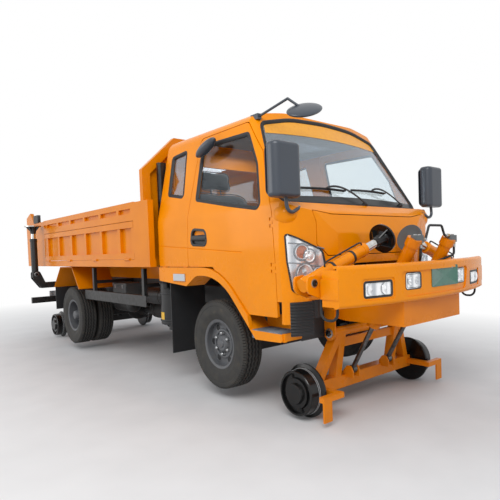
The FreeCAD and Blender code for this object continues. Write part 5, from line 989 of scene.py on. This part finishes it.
def step_tread(side_name, side):
    """Corrugated tread plate on a boarding step: its top's height is a sine of the distance out
    from the cab, and its nose is ribbed by a sine of its height."""
    back, front, plate_z, top_rib, nose_rib = 563, 898, 583, 18, 9
    x = np.linspace(back, front, 40)[:, None]
    y = np.linspace(762, 945, 120)[None, :]
    z = plate_z + 0.4 + 2.6 * np.sin(2 * np.pi * y / top_rib)
    top = np.stack(np.broadcast_arrays(x, side * y, z), -1)
    x = np.array((back, front))[None, :]
    z = np.linspace(plate_z, 520, 60)[:, None]
    y = 946.5 + 1.8 * np.sin(2 * np.pi * z / nose_rib)
    nose = np.stack(np.broadcast_arrays(x, side * y, z), -1)
    make(f"step_tread_{side_name}", [(top, False, False, False), (nose, False, False, False)],
         TREAD_PLATE, "chassis")


headliner()
for side_name, side in SIDES:
    mirror_face(side_name, side)
for side_name, side in SIDES:
    step_tread(side_name, side)


# ---------------------------------------------------------------- beacon, plate and jack legs
def beacon():
    """Dark collar round the roof beacon's foot."""
    collar = ((-14, 64), (6, 66), (16, 64), (20, 60.4), (-14, 60.4))
    make("beacon_collar", [turned_ring(collar, (60, -20, 2350), (0, 0, 1), 60)], PLASTIC, "chassis")


def number_plate():
    """Blank green plate with a raised rim, and its two bolts."""
    face_x = BUMPER_X - 10
    rise = ((1, 0), (1, 2.4), (0.985, 3.2), (0.975, 2.0), (0, 2.0))
    plate = domed(oblong((-120, 881), (260, 1030), 12), rise, facing(face_x, 1))
    make("front_plate", [plate], GREEN_PLATE, "chassis")
    bolts = [turned(((2, 7), (5, 7), (6.5, 5), (6.5, 0)), (face_x, y, 1014), (1, 0, 0), 6)
             for y in (-30, 170)]
    make("front_plate_bolts", bolts, ZINC, "chassis")


LEG_LEAN = np.radians(18.7)
LEG_PIVOTS = {"front": (1240, 1020, 965.0), "rear": (-4250, 1160, 950.0)}


def leg_line(end, side):
    """A jack leg's pivot and the way from it along the leg, at rest."""
    folded = (0, -side * np.cos(LEG_LEAN), np.sin(LEG_LEAN))
    upright = (0, 0, 1.0)
    way = folded if end == "front" else upright
    return np.array(LEG_PIVOTS[end]) * (1, side, 1), np.array(way)


def jack_foot(end, side_name, side, sole, rim, sole_finish, gusset_finish):
    """Foot of a jack leg: a ribbed disc as wide as its rim, at the sole's distance from the leg's
    pivot, the cone boss behind it and four gussets."""
    pivot, way = leg_line(end, side)
    name, body = f"{end}_{side_name}_foot", f"{end}_{side_name}_jack_rod"
    at = pivot + way * sole
    disc = ((-15.5, 96), (-15.5, rim - 0.6), (-8, rim), (0.6, rim - 0.6), (1.4, 104), (0.2, 100),
            (0.2, 30), (1.6, 26), (1.6, 0))
    make(f"{name}_sole", [turned(disc, at, way, 72)], sole_finish, body)
    boss = turned(((-120, 33), (-118, 38), (-96, 40), (-40, 46), (-16, 62), (-14.5, 64)), at, way, 40)
    along, radius = np.array(((-92, 36), (-80, 44), (-30, 92), (-15, 100), (-15, 40)), float).T[..., None]
    square = unit(np.cross(way, (1, 0, 0)))
    gussets = []
    for turn in np.radians((45, 135, 225, 315)):
        out = np.cos(turn) * square + np.sin(turn) * np.cross(way, square)
        half_thick = 4 * np.cross(way, out)
        sheet = at + along * way + radius * out
        gussets.append((np.stack((sheet - half_thick, sheet + half_thick)), False, True, True))
    make(f"{name}_gussets", [boss] + gussets, gusset_finish, body)


def pin_caps(end, side_name, side, reach):
    """Black pin heads with a bright washer at both ends of a leg's pivot."""
    pivot, _ = leg_line(end, side)
    heads, washers = [], []
    for way in (-1, 1):
        at, axis = pivot + (way * reach, 0, 0), (way, 0, 0)
        heads.append(turned(((2, 22), (9, 21), (12, 15), (12, 9), (8, 6), (8, 0)), at, axis, 28))
        washers.append(turned(((-2, 29), (1.5, 29), (2.5, 26), (2.5, 20)), at, axis, 32))
    make(f"{end}_{side_name}_leg_pin_heads", heads, BLACK_GLOSS, "chassis")
    make(f"{end}_{side_name}_leg_pin_washers", washers, ZINC, "chassis")


def leg_ends(end, side_name, side, length, finish):
    """Gland collar at a leg barrel's mouth and the welded band round its foot."""
    pivot, way = leg_line(end, side)
    barrel, rod, collars = 46.2, 34, []
    for low, high, r, mouth in ((length - 46, length + 1.5, 50, rod), (-30, 10, 49, barrel)):
        profile = ((low, barrel), (low + 3, r), (high - 4, r), (high, r - 5), (high, mouth))
        collars.append(turned_band(profile, pivot, way, 48))
    make(f"{end}_{side_name}_leg_collars", collars, finish, f"{end}_{side_name}_jack_barrel")


for side_name, side in SIDES:
    foot_finish = BLACK_GLOSS if side_name == "right" else GREY_STEEL
    jack_foot("front", side_name, side, 887, 113.2, foot_finish, foot_finish)
    pin_caps("front", side_name, side, 66.5)
    jack_foot("rear", side_name, side, 712, 111.9, PALE_STEEL, BLACK_STEEL)
    pin_caps("rear", side_name, side, 64.5)
for side_name, side in SIDES:
    leg_ends("front", side_name, side, 640, ORANGE)
    leg_ends("rear", side_name, side, 520, BLACK_STEEL)


def hose_ends():
    """Crimped ferrules and hexagon nuts where the hoses meet their ports."""
    ends = (
        ((1562, -159.7, 1228), (0, 1, 0)), ((1562, 219.7, 1254), (0, -1, 0)),
        ((1560, -175, 1204), (0, 0, -1)), ((1560, 305, 1204), (0, 0, -1)),
        ((1490, -90, 949), (0, 0, 1)), ((1490, 60, 949), (0, 0, 1)),
    )
    nuts, ferrules = [], []
    for at, way in ends:
        nuts.append(turned(((0, 15), (14, 15), (16, 13), (16, 9.3)), at, way, 6))
        ferrules.append(turned(((16, 9.3), (17, 12), (24, 12.4), (40, 12), (42, 9.3)), at, way, 24))
    make("hose_nuts", nuts, BRASS, "chassis")
    make("hose_ferrules", ferrules, ZINC, "chassis")


beacon()
number_plate()
hose_ends()
for side_name, side in SIDES:
    wheel_trim(f"front_{side_name}_rim", side * 811, side * 863, side, FRONT_AXLE_X,
               f"front_{side_name}_wheel", FRONT_HUB, FRONT_SWELL)
    wheel_trim(f"rear_{side_name}_rim", side * 827, side * 938, side, REAR_AXLE_X,
               f"rear_{side_name}_wheels", REAR_HUB, REAR_SWELL)
for end, x in RAIL_AXLES:
    rail_wheel_trim(end, x)


# ---------------------------------------------------------------- covers and small fittings
def ellipsoid_shell(centre, axes):
    """Ellipsoid from three half axes, by latitude and longitude."""
    lat = np.linspace(-np.pi / 2, np.pi / 2, 24)[:, None]
    lon = np.linspace(0, 2 * np.pi, 48, endpoint=False)[None, :]
    a, b, c = (np.array(axis, float) for axis in axes)
    points = (np.array(centre, float) + (np.cos(lat) * np.cos(lon))[..., None] * a
              + (np.cos(lat) * np.sin(lon))[..., None] * b + (np.sin(lat) + 0 * lon)[..., None] * c)
    return points, False, True, True


def soft_box(low, high, radius, swell=2.0):
    """Moulded box between two corners: its plan a rounded outline, drawn in at top and bottom over
    the swell's height."""
    low, high = np.array(low, float), np.array(high, float)
    plan = oblong(low[:2], high[:2], radius)
    middle = (low[:2] + high[:2]) / 2
    edge = ((0, 0.0), (0, 0.96), (0.25, 0.99), (swell, 1.0))
    rings = [(low[2] + step, share) for step, share in edge]
    rings += [(high[2] - step, share) for step, share in edge[::-1]]
    levels = [np.column_stack((middle + (plan - middle) * share, np.full(len(plan), z)))
              for z, share in rings]
    return np.stack(levels), False, True, True


def kerb_mirror_cover():
    """Grey shell of the small mirror over the right door's window, and its stub."""
    x, skin = -60, WAIST_HALF - CAB_LEAN * (2110 - WAIST_Z)
    ahead, out, up = np.array((0.93, 0, 0.37)), np.array((0, 1, 0)), np.array((-0.37, 0, 0.93))
    shell = ellipsoid_shell((x, -skin - 75, 2085), (ahead * 151.2, out * 49.2, up * 41.2))
    stub = turned(((0, 15), (108, 15)), (x, 6 - skin, 2163), (0, -81, -63), 20)
    make("kerb_mirror_cover", [shell, stub], MIRROR_SHELL, "door_right")


def battery_cover():
    """Grey pressed lid and box round the battery, with a lip where they meet and two catches."""
    box = soft_box((-2762, -622, 638), (-2368, -377, 792), 14)
    lid = soft_box((-2768, -628, 786), (-2362, -373, 829), 16)
    catches = [soft_box((x, -632, 760), (x + 34, -622, 806), 4) for x in (-2690, -2470)]
    make("battery_cover", [box, lid], GREY_STEEL, "chassis")
    make("battery_catches", catches, ZINC, "chassis")


def canister_trim():
    """Clamp rings, lid and blank yellow label of the air cleaner canister, and ribs on its duct."""
    x, y, foot_z, up, wall = -1020, -720, 470, (0, 0, 1), 125
    profiles = [((low, wall), (low, wall + 6), (low + 5, wall + 9), (low + 14, wall + 9),
                 (low + 19, wall + 6), (low + 19, wall)) for low in (24, 300, 404)]
    profiles.append(((-8, 60), (-14, 70), (-14, 112), (-6, 124), (10, 128), (20, 125.5)))
    rings = [turned_band(profile, (x, y, foot_z), up, 64) for profile in profiles]
    make("canister_rings", rings, PLASTIC, "chassis")
    turn = np.linspace(-2.35, -1.35, 16)[None, :]
    z, r = foot_z + np.linspace(40, 118, 4)[:, None], wall + 1.4
    label = np.stack(np.broadcast_arrays(x + r * np.cos(turn), y + r * np.sin(turn), z), -1)
    make("canister_label", [(label, False, False, False)], LABEL, "chassis")
    duct_foot, pipe, rib = (-915, -870, 870), 44, 49
    profiles = [((low, pipe), (low + 3, rib), (low + 9, rib), (low + 12, pipe)) for low in range(20, 200, 22)]
    ribs = [turned_band(profile, duct_foot, up, 32) for profile in profiles]
    make("duct_ribs", ribs, INTAKE, "chassis")


def corner_lamp():
    """Dark work lamp on the bed's right rear corner."""
    body = soft_box((-4630, -1046, 1719), (-4400, -1000, 1836), 10)
    make("corner_lamp_right", [body], PLASTIC, "bed")


kerb_mirror_cover()
battery_cover()
canister_trim()
corner_lamp()


def corner_grille(side_name, side):
    """Black panel that wraps the foot of the cab's front corner, its ribs a clipped sine of height."""
    rib_spacing, rib_height, d = 22, 2.4, 1.0
    y = side * np.linspace(742, 908, 40)[None, :]
    z = np.linspace(563, 809, 140)[:, None]
    x = np.interp(y, *NOSE_PLAN)
    lean = unit(np.stack((1 + 0 * x, (np.interp(y - d, *NOSE_PLAN) - x) / d), -1))
    lift = 5.4 + rib_height * np.clip(np.sin(2 * np.pi * z / rib_spacing) * 1.6, -1, 1)
    points = np.stack((x + lift * lean[..., 0], y + lift * lean[..., 1], z + 0 * y), -1)
    make(f"corner_grille_{side_name}", [(points, False, False, False)], PLASTIC, "chassis")


def side_lamp(side_name, side):
    """Fluted face of the lamp on the fender's rear end: a rounded bar that rises to a low crown."""
    def place(x, z, h):
        return np.stack((x, side * (957 + h) + 0 * x, z), -1)

    rise = ((1.02, 0.4), (1.02, 9), (0.99, 12), (0.9, 12.8), (0.5, 12.95), (0, 12.95))
    lens = domed(oblong((-562, 932), (-366, 996), 28, 6), rise, place)
    make(f"side_lamp_{side_name}", [lens], REFLECTOR, "chassis")


def port_block_covers():
    """Dark steel port blocks on the heads of the front cylinders, with two plugs each."""
    x, half, foot, top = 1556, 23.5, 1203, 1256.5
    blocks, plugs = [], []
    for low, high in ((-262, -158), (218, 322)):
        blocks.append(soft_box((x - half, low, foot), (x + half, high, top), 5, 3))
        for y in (low + 26, high - 26):
            plugs.append(turned(((0, 13), (7, 13), (9, 10), (9, 0)), (x, y, top - 0.5), (0, 0, 1), 6))
    make("port_blocks", blocks, GREY_STEEL, "front_gear_barrels")
    make("port_plugs", plugs, ZINC, "front_gear_barrels")


GEAR_PIVOTS = (("front", 945), ("rear", -4572))


def gear_pivots(end, x):
    """Black hexagonal pin heads and bright washers where the rail gear hangs from its carrier."""
    heads, washers = [], []
    for _, side in SIDES:
        at, axis = (x, side * 490, 530), (0, side, 0)
        heads.append(turned(((0, 27), (22, 26), (26, 19), (26, 0)), at, axis, 6))
        washers.append(turned(((0, 36), (9, 36), (10, 33), (10, 26)), at, axis, 32))
    make(f"{end}_gear_pin_heads", heads, BLACK_GLOSS, "chassis")
    make(f"{end}_gear_pin_washers", washers, ZINC, "chassis")


def leg_pipe(side_name, side):
    """Oil pipe along the top of a front leg, clipped to its barrel and bent in at both ends."""
    pivot, way = leg_line("front", side)
    over = np.array((0, side * np.sin(LEG_LEAN), np.cos(LEG_LEAN)))
    name, body, start = f"front_{side_name}_leg", f"front_{side_name}_jack_barrel", pivot + (18, 0, 0)
    line = [start + way * along + over * out
            for along, out in ((600, 46), (600, 66), (560, 70), (215, 70), (180, 64), (178, 44))]
    clips = [turned_band(((a, 46), (a, 49), (a + 22, 49), (a + 22, 46)), pivot, way, 40) for a in (240, 460)]
    make(f"{name}_pipe", [carried(bent(line, 16), oval(12, 12), (1, 0, 0))], EPDM, body)
    make(f"{name}_pipe_clips", clips, BLACK_STEEL, body)


def under_frame():
    """Two air reservoirs and a silencer under the bed's right side: turned shells with domed ends,
    each with two straps and a bracket per strap that ends 3 mm short of the frame rail."""
    shells, straps, to_rear, rail_face = [], [], (-1, 0, 0), -380
    for x, y, z, r, length in ((-1480, -500, 690, 98, 560), (-2350, -505, 540, 92, 520),
                               (-1400, -250, 470, 105, 900)):
        head = ((0, 0), (3, r * 0.5), (14, r * 0.82), (34, r * 0.97), (50, r))
        tail = tuple((length - along, radius) for along, radius in head[::-1])
        shells.append(turned(head + tail, (x, y, z), to_rear, 48))
        bracket_y, bracket_z = min(y + 40, rail_face - 4), z + r * 0.5
        for a in (110, length - 130):
            strap = ((a, r), (a, r + 3), (a + 30, r + 3), (a + 30, r))
            straps.append(turned_band(strap, (x, y, z), to_rear, 48))
            low, high = (x - a - 30, bracket_y, bracket_z), (x - a, rail_face - 3, bracket_z + 34)
            straps.append(soft_box(low, high, 2, 2))
    make("air_reservoirs", shells, BLACK_STEEL, "chassis")
    make("reservoir_straps", straps, BLACK_STEEL, "chassis")


for side_name, side in SIDES:
    corner_grille(side_name, side)
    side_lamp(side_name, side)
    leg_pipe(side_name, side)
port_block_covers()
for end, x in GEAR_PIVOTS:
    gear_pivots(end, x)
under_frame()


# ---------------------------------------------------------------- surroundings
def looked_at(tree):
    """1 for a ray from the camera, off a mirror or through glass, 0 for one that only lights."""
    ray = add(tree, "LightPath")
    seen = add(tree, "Math", operation="MAXIMUM", i0=ray.outputs["Is Camera Ray"],
               i1=ray.outputs["Is Glossy Ray"])
    return add(tree, "Math", operation="MAXIMUM", i0=seen.outputs[0],
               i1=ray.outputs["Is Transmission Ray"]).outputs[0]


def studio_floor():
    """A pale floor that fades to white away from the truck."""
    material, tree, place = new_finish("pale_studio_floor")
    middle = add(tree, "VectorMath", operation="SUBTRACT", i0=place, i1=(0.4, 0.3, 0.0))
    flat = add(tree, "VectorMath", operation="MULTIPLY", i0=middle.outputs[0], i1=(0.5, 1.0, 0.0))
    far = add(tree, "VectorMath", operation="LENGTH", i0=flat.outputs[0])
    fade = add(tree, "MapRange", Value=far.outputs["Value"], From_Min=1.7, From_Max=5.0)
    white = add(tree, "Math", operation="MULTIPLY", i0=fade.outputs[0], i1=looked_at(tree))
    grain = add(tree, "TexNoise", Vector=place, Scale=1 / (400 * MM), Detail=2.0)
    tone = ramp(tree, grain.outputs["Fac"], (0.3, "#D2D1D1"), (0.7, "#D8D7D7"))
    matt = add(tree, "BsdfDiffuse", Color=tone)
    glow = add(tree, "Emission", Color=linear("#FFFFFF"), Strength=1.0)
    both = add(tree, "MixShader", Fac=white.outputs[0], i1=matt.outputs[0], i2=glow.outputs[0])
    finished(material, tree, both)
    size = 40.0
    floor = bpy.data.meshes.new("floor")
    floor.from_pydata([(-size, -size, 0), (size, -size, 0), (size, size, 0), (-size, size, 0)], [],
                      [(0, 1, 2, 3)])
    floor.materials.append(material)
    ground = bpy.data.objects.new("floor", floor)
    bpy.context.scene.collection.objects.link(ground)


def plain_sky():
    """A sky that lights softly and is white where it is looked at."""
    world = bpy.data.worlds.new("sky")
    world.use_nodes = True
    bpy.context.scene.world = world
    tree = world.node_tree
    tree.nodes.clear()
    soft = add(tree, "Background", Color=linear("#EEF2F7"), Strength=0.74)
    white = add(tree, "Background", Color=linear("#FFFFFF"), Strength=1.0)
    mixed = add(tree, "MixShader", Fac=looked_at(tree), i1=soft.outputs[0], i2=white.outputs[0])
    out = add(tree, "OutputWorld")
    tree.links.new(mixed.outputs[0], out.inputs["Surface"])


set_camera()
studio_floor()
plain_sky()
area_lamp("key", (6.5, -5.5, 6.5), (0.8, 0, 0.9), 5, 4, 415)
area_lamp("cab", (1.7, 0, 2.26), (1.62, 0, 1.2), 0.5, 1.1, 6)
area_lamp("fill", (-3.5, -7.5, 3.0), (-1.0, 0, 1.0), 5, 3, 120)
